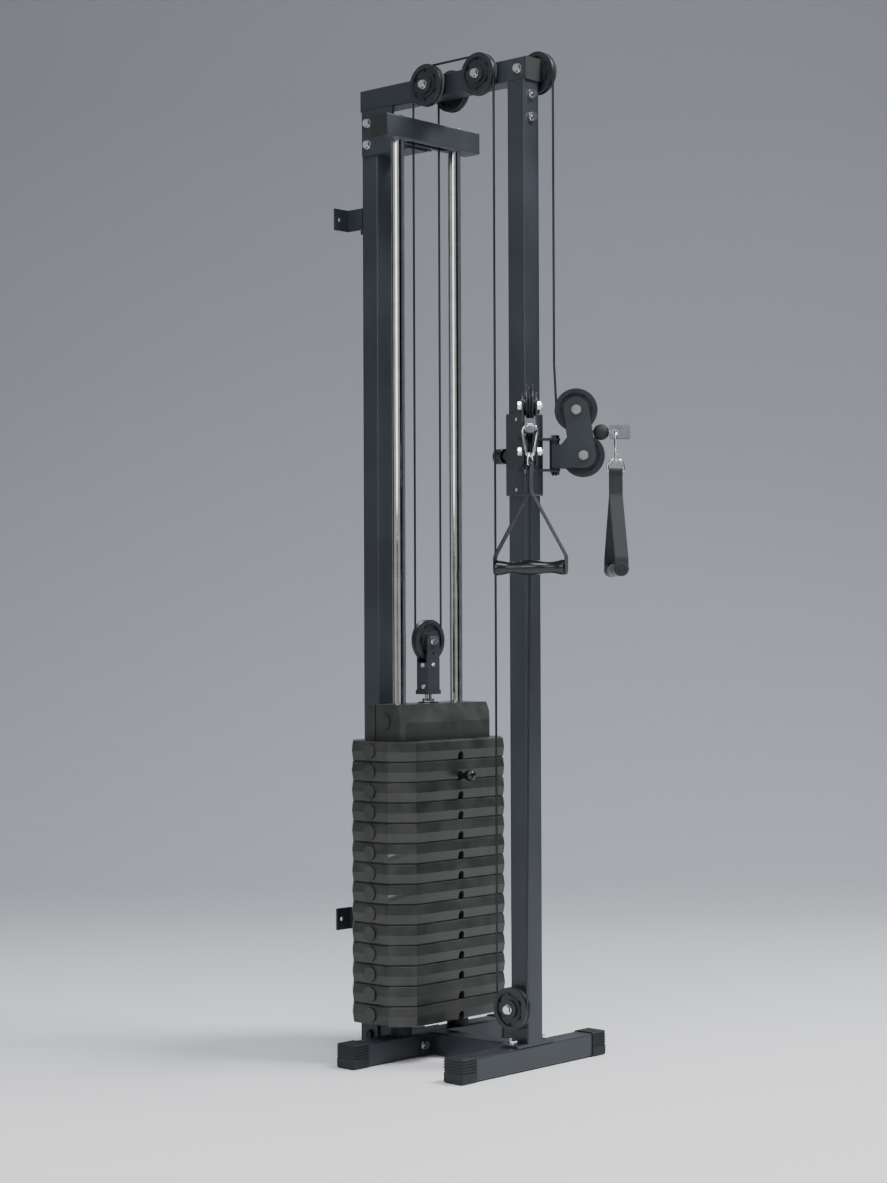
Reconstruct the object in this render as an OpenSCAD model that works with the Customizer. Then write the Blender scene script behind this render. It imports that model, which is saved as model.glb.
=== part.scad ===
// Cable machine with a selectable weight stack, a height-adjustable carriage on
// the front post and two swivelling pulley heads with hand grips.
// Origin: middle of the footprint, on the floor. The user stands on the -Y side.

/* [Frame] */
// Height of the frame's top face above the floor
frame_h = 2210; // [1900:10:2400]
// Outer width of the square frame tube
tube_w = 50; // [46:1:56]
// Wall of the frame tube
tube_wall = 2.5; // [2:0.1:4]
// Outer corner radius of the frame tube
tube_r = 4; // [3:0.5:6]
// Front post centre, measured from the middle of the footprint
front_y = -154; // [-200:1:-120]
// Front post centre to the middle of the weight stack
stack_gap = 290; // [270:1:330]
// Front post centre to rear post centre
post_gap = 446; // [430:1:520]
// Length of the front foot over its caps
front_foot_len = 480; // [420:5:600]
// Length of the rear foot over its caps
rear_foot_len = 538; // [460:5:700]
// Length of a ribbed cap on a foot
foot_cap_len = 45; // [35:1:70]
// Wall of a ribbed cap, which lifts the foot off the floor
foot_cap_wall = 2.5; // [2:0.1:5]
// Thickness of the end of a cap
cap_end = 4; // [3:0.5:8]
// Thickness of the bolted flanges of the base
flange_t = 5; // [4:0.5:8]
// Width of the bolted flanges of the base
flange_w = 120; // [110:1:150]
// Distance between the two bolts of a base flange
flange_bolt_gap = 100; // [90:1:110]
// Thickness of the plate under a post
base_plate_t = 6; // [4:0.5:10]
// Width of the plate under the front post
base_plate_w = 122; // [116:1:150]
// Distance between the two bolts under the front post
base_bolt_gap = 96; // [88:1:104]
// Length of the stub behind the rear foot
stub_len = 167; // [150:1:240]
// Length of the top beam's spigots inside the posts
spigot_len = 110; // [90:1:160]
// Gap between a spigot and the tube round it
spigot_clear = 0.2; // [0.1:0.05:0.5]
// Pitch of the adjustment holes in the front post
post_hole_pitch = 50; // [50:10:100]
// Adjustment holes above the carriage at rest
post_holes_up = 10; // [4:1:12]
// Adjustment holes below the carriage at rest
post_holes_down = 14; // [4:1:16]

/* [Crossbeam and wall brackets] */
// Length of the crossbeam over its caps
crossbeam_len = 310; // [280:2:400]
// Underside of the crossbeam, measured down from the top face
crossbeam_drop = 150; // [120:1:200]
// Length of the slot that the cable drops through
cable_slot_len = 140; // [120:2:160]
// Width of the slot that the cable drops through
cable_slot_w = 18; // [12:1:24]
// Thickness of the crossbeam bracket's plates
bracket_t = 6; // [4:0.5:8]
// Height of the crossbeam bracket
bracket_h = 105; // [90:1:120]
// How far the bracket's tall left side reaches in front of the post
bracket_nose = 54; // [30:1:80]
// How far the bracket's sides stop short of the post's back face
bracket_inset = 6; // [0:1:12]
// Width of the bracket's flange on the crossbeam
bracket_flange_w = 90; // [80:1:110]
// Depth of a wall bracket
wall_bracket_depth = 50; // [40:1:80]
// Thickness of a wall bracket's sheet
wall_bracket_t = 4; // [3:0.5:6]
// Height of a wall bracket
wall_bracket_h = 50; // [40:1:60]
// Width of a wall bracket over its flanges
wall_bracket_w = 136; // [120:1:160]
// Distance between the two screw holes of a wall bracket
wall_hole_gap = 106; // [90:1:116]
// Diameter of a wall screw hole
wall_hole_d = 10; // [7:0.5:12]
// Height of the lower wall bracket's middle
wall_low_z = 288; // [200:1:500]
// Height of the upper wall bracket's middle
wall_high_z = 1912; // [1500:1:1950]

/* [Weight stack] */
// Number of plates under the top plate
plate_count = 14; // [10:1:14]
// Number of plates that hang on the pin
plates_lifted = 2; // [1:1:5]
// Width of a weight plate
plate_w = 384; // [340:2:420]
// Depth of a weight plate
plate_d = 200; // [160:2:230]
// Height from one plate to the next
plate_pitch = 44.67; // [40:0.01:46]
// Gap between two plates
plate_gap = 0.3; // [0.2:0.1:1]
// Cut-off at the upright corners of a plate
plate_corner = 45; // [30:1:60]
// Bevel along the edges of a plate
plate_bevel = 2.5; // [1.5:0.5:6]
// Lean of a plate's faces from their middle line to the bevels
plate_lean = 2.5; // [1:0.5:5]
// Diameter of the round boss on the end of a plate
plate_boss_d = 33; // [20:1:36]
// Height of the round boss over the end of a plate
plate_boss_h = 3.5; // [2:0.5:6]
// Diameter of a guide rod
rod_d = 30; // [25:1:32]
// Distance between the guide rods
rod_gap = 190; // [170:1:210]
// Length of a guide rod above the crossbeam
rod_over = 4; // [2:1:45]
// Gap round a guide rod in a weight plate
rod_clear = 1; // [0.5:0.1:2]
// Gap round a guide rod in the top plate's bush
bush_clear = 0.3; // [0.2:0.05:0.6]
// Height of the rubber bumpers under the lowest plate
bumper_h = 33.4; // [25:0.1:50]
// Diameter of the rubber bumpers
bumper_d = 50; // [44:1:60]
// Width of the top plate
top_plate_w = 300; // [256:2:320]
// Depth of the top plate
top_plate_d = 122; // [100:2:140]
// Height of the top plate
top_plate_h = 80; // [60:1:90]
// Cut-off at the upright corners of the top plate
top_plate_corner = 9; // [5:1:16]
// Height of the sloping upper faces of the top plate
top_shoulder_h = 40; // [20:1:50]
// Inset of the sloping upper faces of the top plate
top_shoulder_in = 18; // [10:1:24]
// Diameter of the round boss on an end of the top plate
top_boss_d = 36; // [28:1:40]
// Diameter of the selector stem
stem_d = 28; // [26:1:32]
// Diameter of the selector pin
pin_d = 10; // [8:0.5:11]
// Height of the pin's middle above a plate's underside
pin_up = 10; // [8:0.5:16]
// Diameter of the selector pin's ball knob
pin_knob_d = 27; // [24:1:36]
// Middle of the ball knob, in front of the plates
pin_knob_out = 26.5; // [24:0.5:36]

/* [Pulleys and cable] */
// Diameter of the steel cable with its coat
cable_d = 5; // [4:0.5:6]
// Outer diameter of a pulley
pulley_d = 94; // [90:1:100]
// Radius at which the cable lies on a pulley
pulley_pitch_r = 42.5; // [40:0.5:43]
// Width of a pulley's rim
pulley_w = 16; // [12:0.5:17]
// Length of a pulley's hub
hub_len = 25; // [20:1:30]
// Diameter of a pulley's hub
hub_d = 40; // [34:1:46]
// Thickness of a pulley's web
web_t = 9; // [7:0.5:11]
// Diameter of the raised ring round a pulley's hub
step_d = 56; // [50:1:58]
// Number of pockets in each face of a pulley's web
pocket_count = 6; // [4:1:8]
// Depth of a pocket in a pulley's web
pocket_depth = 2.5; // [1:0.5:3]
// Outer diameter of a pulley's bearing
bearing_d = 26; // [22:1:30]
// Gap between a pulley and what it turns on
bearing_clear = 0.05; // [0.03:0.01:0.08]
// Diameter of the frame's and the pulleys' bolts
bolt_d = 10; // [8:0.5:12]
// Middle of the front left top pulley, behind the front post
front_left_y = 91; // [88:0.5:96]
// Middle of the base pulley, behind the front post
base_pulley_y = 6; // [2:0.5:10]
// Height of the base pulley's middle
base_pulley_z = 134; // [125:1:160]
// Height of the block pulley's middle above the top plate
block_up = 142; // [135:1:170]

/* [Carriage and swivel heads] */
// Height of the carriage's middle above the floor
carriage_z = 1340; // [640:50:1840]
// Height of the carriage's sleeve
carriage_h = 180; // [150:2:200]
// Outer width of the carriage's sleeve
carriage_w = 60; // [59:0.5:66]
// Wall of the carriage's sleeve
carriage_wall = 3.2; // [3:0.1:4]
// Bevel round the ends of the carriage's sleeve
carriage_bevel = 2.8; // [1:0.1:3]
// Diameter of the round holes in the sleeve's sides
sleeve_hole_d = 9; // [5:0.5:11]
// Gap between a glide and the post
glide_clear = 0.2; // [0.1:0.05:0.4]
// Height of a glide
glide_h = 25; // [20:1:40]
// Swivel axis, in front of the middle of the front post
hinge_out = 50; // [48:0.5:56]
// Diameter of a hinge bolt
hinge_d = 12; // [10:0.5:14]
// Outer radius of a hinge ear and a hinge sleeve's seat
ear_r = 13; // [12:0.5:16]
// Thickness of a hinge ear
ear_t = 5; // [4:0.5:8]
// Half the distance between the hinge ears
ear_half = 31.2; // [30:0.1:36]
// Turn of the right head from straight ahead, at rest
right_angle = 41; // [0:1:80]
// Turn of the left head from straight ahead, at rest
left_angle = 49; // [0:1:80]
// Upper wheel's distance from the swivel axis
upper_out = 47.5; // [46:0.5:52]
// Upper wheel's height above the carriage's middle
upper_up = 98; // [96:1:104]
// Lower wheel's distance from the swivel axis
lower_out = 63; // [61:0.5:68]
// Lower wheel's height above the carriage's middle
lower_up = -2; // [-4:0.5:0]
// Radius of a head's side plates round the wheel bolts
cheek_r = 28; // [24:1:34]
// Thickness of a head's side plates
cheek_t = 4; // [3:0.5:5]
// Gap between a wheel's hub and a side plate
cheek_clear = 0.3; // [0.2:0.05:0.6]
// Height above and below the carriage's middle where the cable enters a head
lead_in = 200; // [180:5:260]
// Diameter of the pop pin's plunger
plunger_d = 10; // [8:0.5:10]
// Diameter of the pop pin's knob
pop_knob_d = 34; // [28:1:40]
// Length of the pop pin's barrel
barrel_len = 24; // [22:1:40]
// Length of the pop pin's knob
pop_knob_len = 23; // [18:1:34]

/* [Handles] */
// Diameter of the rubber cable stop
stop_d = 35; // [30:0.5:40]
// Stop's distance from the swivel axis
stop_out = 102.5; // [102:0.5:110]
// Length of the shackle's arms
shackle_len = 45; // [42:1:60]
// Height of the shackle's arms
shackle_h = 30; // [26:1:36]
// Gap between the shackle's arms
shackle_gap = 16; // [14:0.5:18]
// Thickness of the shackle's sheet
shackle_t = 3; // [2:0.5:4]
// Diameter of the holes in the shackle
shackle_hole_d = 18; // [17:0.5:20]
// Diameter of the snap hook's wire
hook_wire_d = 6; // [5:0.5:7]
// Radius of the snap hook's upper bend, to the wire's middle
hook_top_r = 15.5; // [15:0.5:18]
// Radius of the snap hook's lower bend, to the wire's middle
hook_low_r = 8; // [7:0.5:9]
// Length of the snap hook between the middles of its wire
hook_len = 66; // [62:1:80]
// Diameter of the D ring's wire
ring_wire_d = 5; // [4:0.5:6]
// Radius of the D ring's bend, to the wire's middle
ring_r = 18; // [17.5:0.5:22]
// Width of the webbing strap
strap_w = 30; // [25:1:30]
// Thickness of the webbing
strap_t = 2.5; // [2:0.1:3.5]
// Length from the strap's top to the middle of the grip
strap_drop = 222; // [180:2:260]
// Length of the sewn part at the strap's top
strap_sewn = 52; // [40:1:80]
// Length of the hand grip
grip_len = 150; // [120:2:160]
// Diameter of the hand grip in its middle
grip_d = 32; // [28:1:40]
// Diameter of the hand grip's necks, near its ends
grip_neck_d = 24; // [22:0.5:28]
// Diameter of the hand grip's flared ends
grip_end_d = 33; // [30:1:44]
// Turn of the right handle on its ring, seen from above, at rest
right_handle_turn = 6; // [0:1:12]
// Turn of the left handle on its ring, seen from above, at rest
left_handle_turn = -15; // [-20:1:0]

/* [Hidden] */
$fn = 64;
// Clearance of a hole round a bolt that stays still, and of a running fit.
bolt_hole_clear = 0.4;
fit_clear = 0.05;
// Curved faces that only lie on each other keep this gap.
seat_clear = 0.3;
// A straight wire laps into the bend that it runs on from, a little thinner.
lap = 0.3;
lap_step = 0.02;
// Gap between the ends of two cable lengths that move against each other.
cable_gap = 0.5;
bolt_r = bolt_d / 2;
hex_r = bolt_d * 0.98;
head_h = bolt_d * 0.65;
nut_h = bolt_d * 0.8;
washer_r = bolt_d * 1.05;
washer_t = 2;
half_w = tube_w / 2;
foot_z = foot_cap_wall + half_w;
foot_top = foot_cap_wall + tube_w;
post_base_z = foot_top + base_plate_t;
beam_z0 = frame_h - tube_w;
beam_mid_z = frame_h - half_w;
stack_y = front_y + stack_gap;
rear_y = front_y + post_gap;
crossbeam_z0 = beam_z0 - crossbeam_drop + tube_w;
crossbeam_z1 = crossbeam_z0 + tube_w;
rod_top_z = crossbeam_z1 + rod_over;
plates_z0 = foot_top + bumper_h + seat_clear;
plates_idle = plate_count - plates_lifted;
plate_t = plate_pitch - plate_gap;
top_plate_z = plates_z0 + plate_count * plate_pitch;
pin_z = plates_z0 + plates_idle * plate_pitch + pin_up;
cable_x = pulley_pitch_r;
hub_half = hub_len / 2;
spacer_len = cable_x - hub_half - half_w;
top_run_z = beam_mid_z + pulley_pitch_r;
front_right_y = pulley_pitch_r - hinge_out;
// The lift cable hangs from the rear pulleys over the middle of the stack.
rear_pulley_y = stack_gap - pulley_pitch_r;
block_z = top_plate_z + top_plate_h + block_up;
cheek_in = hub_half + cheek_clear;
cheek_out = cheek_in + cheek_t;
// The stop rests on the lower wheel's rim.
stop_reach = pulley_d / 2 + stop_d / 2 + seat_clear;
stop_up = lower_up + sqrt(pow(stop_reach, 2) - pow(stop_out - lower_out, 2));
shackle_s = stop_out + stop_d / 2 + seat_clear;
hook_s = shackle_s + 13.5;
hook_top_z = stop_up + 1;
hook_low_z = hook_top_z - hook_len;
ring_top_z = hook_low_z + hook_wire_d / 2 + ring_wire_d / 2 + 0.4;
ring_bar_z = ring_top_z - ring_r - 7;
strap_top_z = ring_bar_z + ring_wire_d / 2 + seat_clear + strap_t;
grip_z = strap_top_z - strap_drop;
grip_core_r = 9.5;
// Width of the pulley block's side plates.
block_w = 40;
grip_bore_r = grip_core_r + 0.4;

// Helpers

// Extrudes a flat shape along +X: its x becomes Y and its y becomes Z.
module along_x(len) {
    rotate([90, 0, 90]) linear_extrude(len) children();
}

// Extrudes a flat shape along +Y: its x becomes X and its y becomes Z.
module along_y(len) {
    translate([0, len, 0]) rotate([90, 0, 0]) linear_extrude(len) children();
}

module rounded(w, d, r) {
    square([w - 2 * r, d], center = true);
    square([w, d - 2 * r], center = true);
    for (i = [-1, 1], j = [-1, 1])
        translate([i * (w / 2 - r), j * (d / 2 - r)]) circle(r);
}

module tube_shape(w, wall, r) {
    difference() {
        rounded(w, w, r);
        rounded(w - 2 * wall, w - 2 * wall, max(r - wall, 0.8));
    }
}

module frame_tube_shape() {
    tube_shape(tube_w, tube_wall, tube_r);
}

// Outline of two circles joined by their outer tangents, along +X.
module link_shape(r1, r2, gap) {
    a = acos((r1 - r2) / gap);
    circle(r1);
    translate([gap, 0]) circle(r2);
    polygon([
        [r1 * cos(a), r1 * sin(a)], [r1 * cos(a), -r1 * sin(a)],
        [gap + r2 * cos(a), -r2 * sin(a)], [gap + r2 * cos(a), r2 * sin(a)]
    ]);
}

// Pie-shaped outline from one angle to another, less than half a turn.
module sector(r, a0, a1) {
    m = (a0 + a1) / 2;
    polygon([
        [0, 0], [r * cos(a0), r * sin(a0)], [1.6 * r * cos(m), 1.6 * r * sin(m)],
        [r * cos(a1), r * sin(a1)]
    ]);
}

// Bolt hole through len along +Z.
module bolt_hole(len) {
    translate([0, 0, -1]) cylinder(r = bolt_r + bolt_hole_clear, h = len + 2);
}

// Bolt with its head above z = 0, its shank below, and its nut under the grip.
module bolt(grip) {
    cylinder(r = washer_r, h = washer_t);
    translate([0, 0, washer_t]) intersection() {
        cylinder(r = hex_r, h = head_h, $fn = 6);
        translate([0, 0, -2]) cylinder(r1 = hex_r + 3, r2 = hex_r - 1, h = head_h + 2);
    }
    translate([0, 0, -grip - nut_h - 3]) cylinder(r = bolt_r, h = grip + nut_h + 4);
    translate([0, 0, -grip - nut_h]) difference() {
        cylinder(r = hex_r, h = nut_h, $fn = 6);
        translate([0, 0, -1]) cylinder(r = bolt_r + fit_clear, h = nut_h + 2);
    }
}

// Pulley with its axis along Z and its middle at the origin.
module pulley() {
    rim_in = pulley_pitch_r - 5.5;
    mouth = pulley_w / 2 - 2;
    difference() {
        rotate_extrude($fn = 96) difference() {
            union() {
                translate([rim_in, -pulley_w / 2]) square([pulley_d / 2 - rim_in, pulley_w]);
                translate([hub_d / 2 - 1, -web_t / 2])
                    square([rim_in - hub_d / 2 + 2, web_t]);
                translate([hub_d / 2 - 1, -web_t / 2 - 2])
                    square([(step_d - hub_d) / 2 + 1, web_t + 4]);
                translate([bearing_d / 2 + bearing_clear, -hub_half])
                    square([(hub_d - bearing_d) / 2 - bearing_clear, hub_len]);
            }
            translate([pulley_pitch_r, 0]) circle(cable_d / 2 + seat_clear, $fn = 32);
            polygon([
                [pulley_pitch_r, -cable_d / 2 - seat_clear], [pulley_d / 2 + 1, -mouth],
                [pulley_d / 2 + 1, mouth], [pulley_pitch_r, cable_d / 2 + seat_clear]
            ]);
        }
        for (i = [0:pocket_count - 1], j = [-1, 1])
            rotate(i * 360 / pocket_count)
                translate([0, 0, j * web_t / 2 - pocket_depth])
                    linear_extrude(2 * pocket_depth) intersection() {
                        difference() {
                            circle(rim_in - 1.5);
                            circle(step_d / 2 + 1.5);
                        }
                        sector(rim_in - 1.5, -10, 10);
                    }
    }
}

// Bearing ring that a pulley turns on, with its bore round the bolt.
module bearing(len) {
    difference() {
        translate([0, 0, -len / 2]) cylinder(r = bearing_d / 2, h = len);
        translate([0, 0, -len / 2 - 1]) cylinder(r = bolt_r + fit_clear, h = len + 2);
    }
}

// Straight cable in the plane y = 0, from one [x, z] to another.
module cable_line(a, b) {
    len = norm(b - a);
    translate([a[0], 0, a[1]]) rotate([0, atan2(b[0] - a[0], b[1] - a[1]), 0])
        cylinder(r = cable_d / 2, h = len, $fn = 24);
}

// Cable round a pulley in the plane y = 0, from angle a0 through the turn.
module cable_bend(c, a0, turn) {
    translate([c[0], 0, c[1]]) rotate([90, 0, 0]) rotate([0, 0, a0])
        rotate_extrude(angle = turn, $fn = 96) translate([pulley_pitch_r, 0])
            circle(cable_d / 2, $fn = 24);
}

// Straight cable that starts on a pulley in the plane y = 0, at angle a.
module cable_tangent(c, a, way, len) {
    translate([c[0], 0, c[1]]) rotate([90, 0, 0]) rotate([0, 0, a])
        translate([pulley_pitch_r, 0, 0]) rotate([-90 * way, 0, 0])
            translate([0, 0, -lap]) cylinder(r = cable_d / 2 - lap_step, h = len + lap, $fn = 24);
}

// Places a pulley or cable drawn in the plane y = 0 into the plane x = px.
module side_plane(px) {
    translate([px, front_y, 0]) rotate([0, 0, 90]) children();
}

// Places a head part: x is outward from the swivel axis, z from the carriage.
module head_place(side) {
    turn = side > 0 ? right_angle - 90 : -90 - left_angle;
    translate([side * cable_x, front_y - hinge_out, carriage_z])
        rotate([0, 0, turn]) children();
}

// Rectangle with its four corners cut off.
module bevelled_edge(w, t, b) {
    polygon([
        [-w / 2 + b, 0], [w / 2 - b, 0], [w / 2, b], [w / 2, t - b],
        [w / 2 - b, t], [-w / 2 + b, t], [-w / 2, t - b], [-w / 2, b]
    ]);
}

// Frame

module foot(len, y) {
    translate([-len / 2 + cap_end, y, foot_z]) along_x(len - 2 * cap_end) frame_tube_shape();
}

module front_foot() {
    color([0.12, 0.12, 0.13]) difference() {
        foot(front_foot_len, front_y);
        for (i = [-1, 1]) {
            translate([i * base_bolt_gap / 2, front_y, foot_top - tube_wall])
                bolt_hole(tube_wall);
            translate([i * flange_bolt_gap / 2, front_y + half_w - tube_wall, foot_z])
                rotate([-90, 0, 0]) bolt_hole(tube_wall);
        }
    }
}

module rear_foot() {
    color([0.12, 0.12, 0.13]) difference() {
        foot(rear_foot_len, stack_y);
        for (i = [-1, 1]) {
            translate([i * rod_gap / 2, stack_y, foot_top - tube_wall - 1])
                cylinder(r = rod_d / 2 + bush_clear, h = tube_wall + 2);
            translate([i * flange_bolt_gap / 2, stack_y - half_w, foot_z])
                rotate([-90, 0, 0]) bolt_hole(tube_w);
        }
    }
}

module base_flange(y) {
    translate([0, y, foot_z]) difference() {
        translate([-flange_w / 2, 0, -half_w]) cube([flange_w, flange_t, tube_w]);
        for (i = [-1, 1])
            translate([i * flange_bolt_gap / 2, 0, 0]) rotate([-90, 0, 0])
                bolt_hole(flange_t);
    }
}

module base_beams() {
    beam_y0 = front_y + half_w;
    beam_y1 = stack_y - half_w;
    stub_y0 = stack_y + half_w;
    color([0.12, 0.12, 0.13]) {
        translate([0, beam_y0, foot_z]) along_y(beam_y1 - beam_y0) frame_tube_shape();
        base_flange(beam_y0);
        base_flange(beam_y1 - flange_t);
        difference() {
            union() {
                translate([0, stub_y0, foot_z]) along_y(stub_len - cap_end)
                    frame_tube_shape();
                base_flange(stub_y0);
            }
            translate([-half_w, rear_y, foot_z]) rotate([0, 90, 0]) bolt_hole(tube_w);
        }
    }
}

// Ribbed cap over the end of a foot, open towards -X.
module foot_cap() {
    size = tube_w + 2 * foot_cap_wall;
    groove = 1.4;
    difference() {
        along_x(foot_cap_len) rounded(size, size, tube_r + foot_cap_wall);
        translate([-1, 0, 0]) along_x(foot_cap_len - cap_end + 1)
            rounded(tube_w, tube_w, tube_r);
        for (k = [0:4]) translate([foot_cap_len - cap_end, 0, k * 6.2 - 4.5])
            difference() {
                translate([-foot_cap_len, -size, 0]) cube([2 * foot_cap_len, 2 * size, 2.4]);
                translate([-foot_cap_len, -size / 2 + groove, -1])
                    cube([foot_cap_len + cap_end - groove, size - 2 * groove, 5]);
            }
    }
}

// Plug in the open end of a frame tube, with its face towards +X.
module tube_plug() {
    inner = tube_w - 2 * tube_wall - 2 * spigot_clear;
    along_x(cap_end) rounded(tube_w, tube_w, tube_r);
    translate([-11, 0, 0]) along_x(12) tube_shape(inner, 3, 1.5);
}

module tube_caps() {
    color([0.07, 0.07, 0.075]) {
        for (p = [[front_foot_len, front_y], [rear_foot_len, stack_y]]) {
            translate([p[0] / 2 - foot_cap_len, p[1], foot_z]) foot_cap();
            translate([-p[0] / 2 + foot_cap_len, p[1], foot_z]) rotate([0, 0, 180]) foot_cap();
        }
        translate([0, stack_y + half_w + stub_len - cap_end, foot_z]) rotate([0, 0, 90])
            tube_plug();
        translate([0, rear_y + half_w, beam_mid_z]) rotate([0, 0, 90]) tube_plug();
        translate([0, front_y - half_w, beam_mid_z]) rotate([0, 0, -90]) tube_plug();
        for (i = [0, 180])
            translate([0, stack_y, crossbeam_z0 + half_w]) rotate([0, 0, i])
                translate([crossbeam_len / 2 - cap_end, 0, 0]) tube_plug();
    }
}

// Heights of the two bolts that hold a spigot in its post.
function spigot_bolt_z(k) = beam_z0 - 30 - k * 50;

module front_post() {
    color([0.12, 0.12, 0.13]) difference() {
        union() {
            translate([0, front_y, post_base_z - 1]) linear_extrude(beam_z0 - post_base_z + 1)
                frame_tube_shape();
            translate([-base_plate_w / 2, front_y - half_w, foot_top])
                cube([base_plate_w, tube_w, base_plate_t]);
        }
        for (i = [-1, 1]) translate([i * base_bolt_gap / 2, front_y, foot_top])
            bolt_hole(base_plate_t);
        for (k = [-post_holes_down:post_holes_up])
            translate([0, front_y + half_w - tube_wall - 1, carriage_z + k * post_hole_pitch])
                rotate([-90, 0, 0]) cylinder(r = plunger_d / 2 + 0.5, h = tube_wall + 2, $fn = 32);
        for (k = [0, 1]) translate([0, front_y - half_w, spigot_bolt_z(k)])
            rotate([-90, 0, 0]) bolt_hole(tube_w);
        translate([-half_w, front_y + base_pulley_y, base_pulley_z]) rotate([0, 90, 0])
            bolt_hole(tube_w);
    }
}

module rear_post() {
    strap_h = 55;
    color([0.12, 0.12, 0.13]) difference() {
        union() {
            translate([0, rear_y, post_base_z - 1]) linear_extrude(beam_z0 - post_base_z + 1)
                frame_tube_shape();
            translate([-half_w - 16, rear_y - half_w, foot_top])
                cube([tube_w + 32, tube_w, base_plate_t]);
            for (i = [-1, 1])
                translate([i * (half_w + base_plate_t / 2), rear_y, foot_top - strap_h / 2 + 20])
                    cube([base_plate_t, tube_w - 6, strap_h], center = true);
        }
        translate([-tube_w, rear_y, foot_z]) rotate([0, 90, 0]) bolt_hole(2 * tube_w);
        for (k = [0, 1]) translate([-half_w, rear_y, spigot_bolt_z(k)])
            rotate([0, 90, 0]) bolt_hole(tube_w);
        for (z = [wall_low_z, wall_high_z])
            translate([0, rear_y + half_w - tube_wall, z]) rotate([-90, 0, 0])
                bolt_hole(tube_wall);
    }
}

module top_beam() {
    spigot_w = tube_w - 2 * tube_wall - 2 * spigot_clear;
    color([0.12, 0.12, 0.13]) difference() {
        union() {
            translate([0, front_y - half_w, beam_mid_z]) along_y(post_gap + tube_w)
                frame_tube_shape();
            for (y = [front_y, rear_y])
                translate([0, y, beam_z0 - spigot_len]) linear_extrude(spigot_len + 1)
                    tube_shape(spigot_w, tube_wall, 1.5);
        }
        for (k = [0, 1]) {
            translate([0, front_y - half_w, spigot_bolt_z(k)]) rotate([-90, 0, 0])
                bolt_hole(tube_w);
            translate([-half_w, rear_y, spigot_bolt_z(k)]) rotate([0, 90, 0])
                bolt_hole(tube_w);
        }
        for (y = [front_right_y, front_left_y, rear_pulley_y])
            translate([-half_w, front_y + y, beam_mid_z]) rotate([0, 90, 0]) bolt_hole(tube_w);
    }
}

module crossbeam() {
    len = crossbeam_len - 2 * cap_end;
    color([0.12, 0.12, 0.13]) difference() {
        translate([-len / 2, stack_y, crossbeam_z0 + half_w]) along_x(len) frame_tube_shape();
        translate([0, stack_y, crossbeam_z0 - 1]) linear_extrude(tube_w + 2)
            rounded(cable_slot_len, cable_slot_w, cable_slot_w / 2 - 0.5);
        for (i = [-1, 1]) translate([i * rod_gap / 2, stack_y, crossbeam_z0 - 1])
            cylinder(r = rod_d / 2 + bush_clear, h = tube_w + 2);
        for (i = [-1, 1])
            translate([0, stack_y + half_w - tube_wall, crossbeam_z0 + half_w + i * 12])
                rotate([-90, 0, 0]) bolt_hole(tube_wall);
    }
}

// Two sides on the post that run forward as a channel to the crossbeam.
module crossbeam_bracket() {
    y0 = stack_y + half_w;
    z0 = beam_z0 - bracket_h;
    color([0.12, 0.12, 0.13]) difference() {
        union() {
            for (i = [-1, 1]) translate([i * (half_w + bracket_t / 2), 0, 0]) {
                nose = i < 0 ? bracket_nose : 0;
                translate([-bracket_t / 2, rear_y - half_w - nose, z0])
                    cube([bracket_t, tube_w + nose - bracket_inset, bracket_h]);
                translate([-bracket_t / 2, y0, z0])
                    cube([bracket_t, rear_y - y0, crossbeam_z1 - z0]);
            }
            translate([-half_w, y0, z0])
                cube([tube_w, rear_y - half_w - y0, bracket_t]);
            translate([-bracket_flange_w / 2, y0, crossbeam_z0 - 2])
                cube([bracket_flange_w, bracket_t, tube_w + 4]);
        }
        for (k = [0, 1]) translate([-tube_w, rear_y, spigot_bolt_z(k)])
            rotate([0, 90, 0]) bolt_hole(2 * tube_w);
        for (i = [-1, 1]) translate([0, y0, crossbeam_z0 + half_w + i * 12])
            rotate([-90, 0, 0]) bolt_hole(bracket_t);
    }
}

module wall_bracket() {
    d = wall_bracket_depth;
    t = wall_bracket_t;
    difference() {
        translate([0, 0, -wall_bracket_h / 2]) linear_extrude(wall_bracket_h) {
            translate([-half_w, 0]) square([tube_w, t]);
            for (i = [-1, 1]) {
                translate([i * (half_w - t / 2) - t / 2, 0]) square([t, d]);
                translate([i * (half_w - t + wall_bracket_w / 2) / 2, d - t / 2])
                    square([wall_bracket_w / 2 - half_w + t, t], center = true);
            }
        }
        rotate([-90, 0, 0]) bolt_hole(t);
        for (i = [-1, 1]) translate([i * wall_hole_gap / 2, d - t - 1, 0])
            rotate([-90, 0, 0]) cylinder(r = wall_hole_d / 2, h = t + 2);
    }
}

module wall_brackets() {
    color([0.12, 0.12, 0.13]) for (z = [wall_low_z, wall_high_z])
        translate([0, rear_y + half_w, z]) wall_bracket();
}

module guide_rods() {
    z0 = foot_cap_wall + tube_wall;
    color([0.8, 0.8, 0.82]) for (i = [-1, 1]) translate([i * rod_gap / 2, stack_y, z0]) {
        cylinder(r = rod_d / 2, h = rod_top_z - z0 - 1.5);
        translate([0, 0, rod_top_z - z0 - 1.5]) cylinder(r1 = rod_d / 2, r2 = rod_d / 2 - 1.5, h = 1.5);
    }
}

module rod_bumpers() {
    color([0.07, 0.07, 0.075]) for (i = [-1, 1])
        translate([i * rod_gap / 2, stack_y, foot_top]) difference() {
            cylinder(r = bumper_d / 2, h = bumper_h);
            translate([0, 0, -1]) cylinder(r = rod_d / 2 + bush_clear, h = bumper_h + 2);
        }
}

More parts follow.
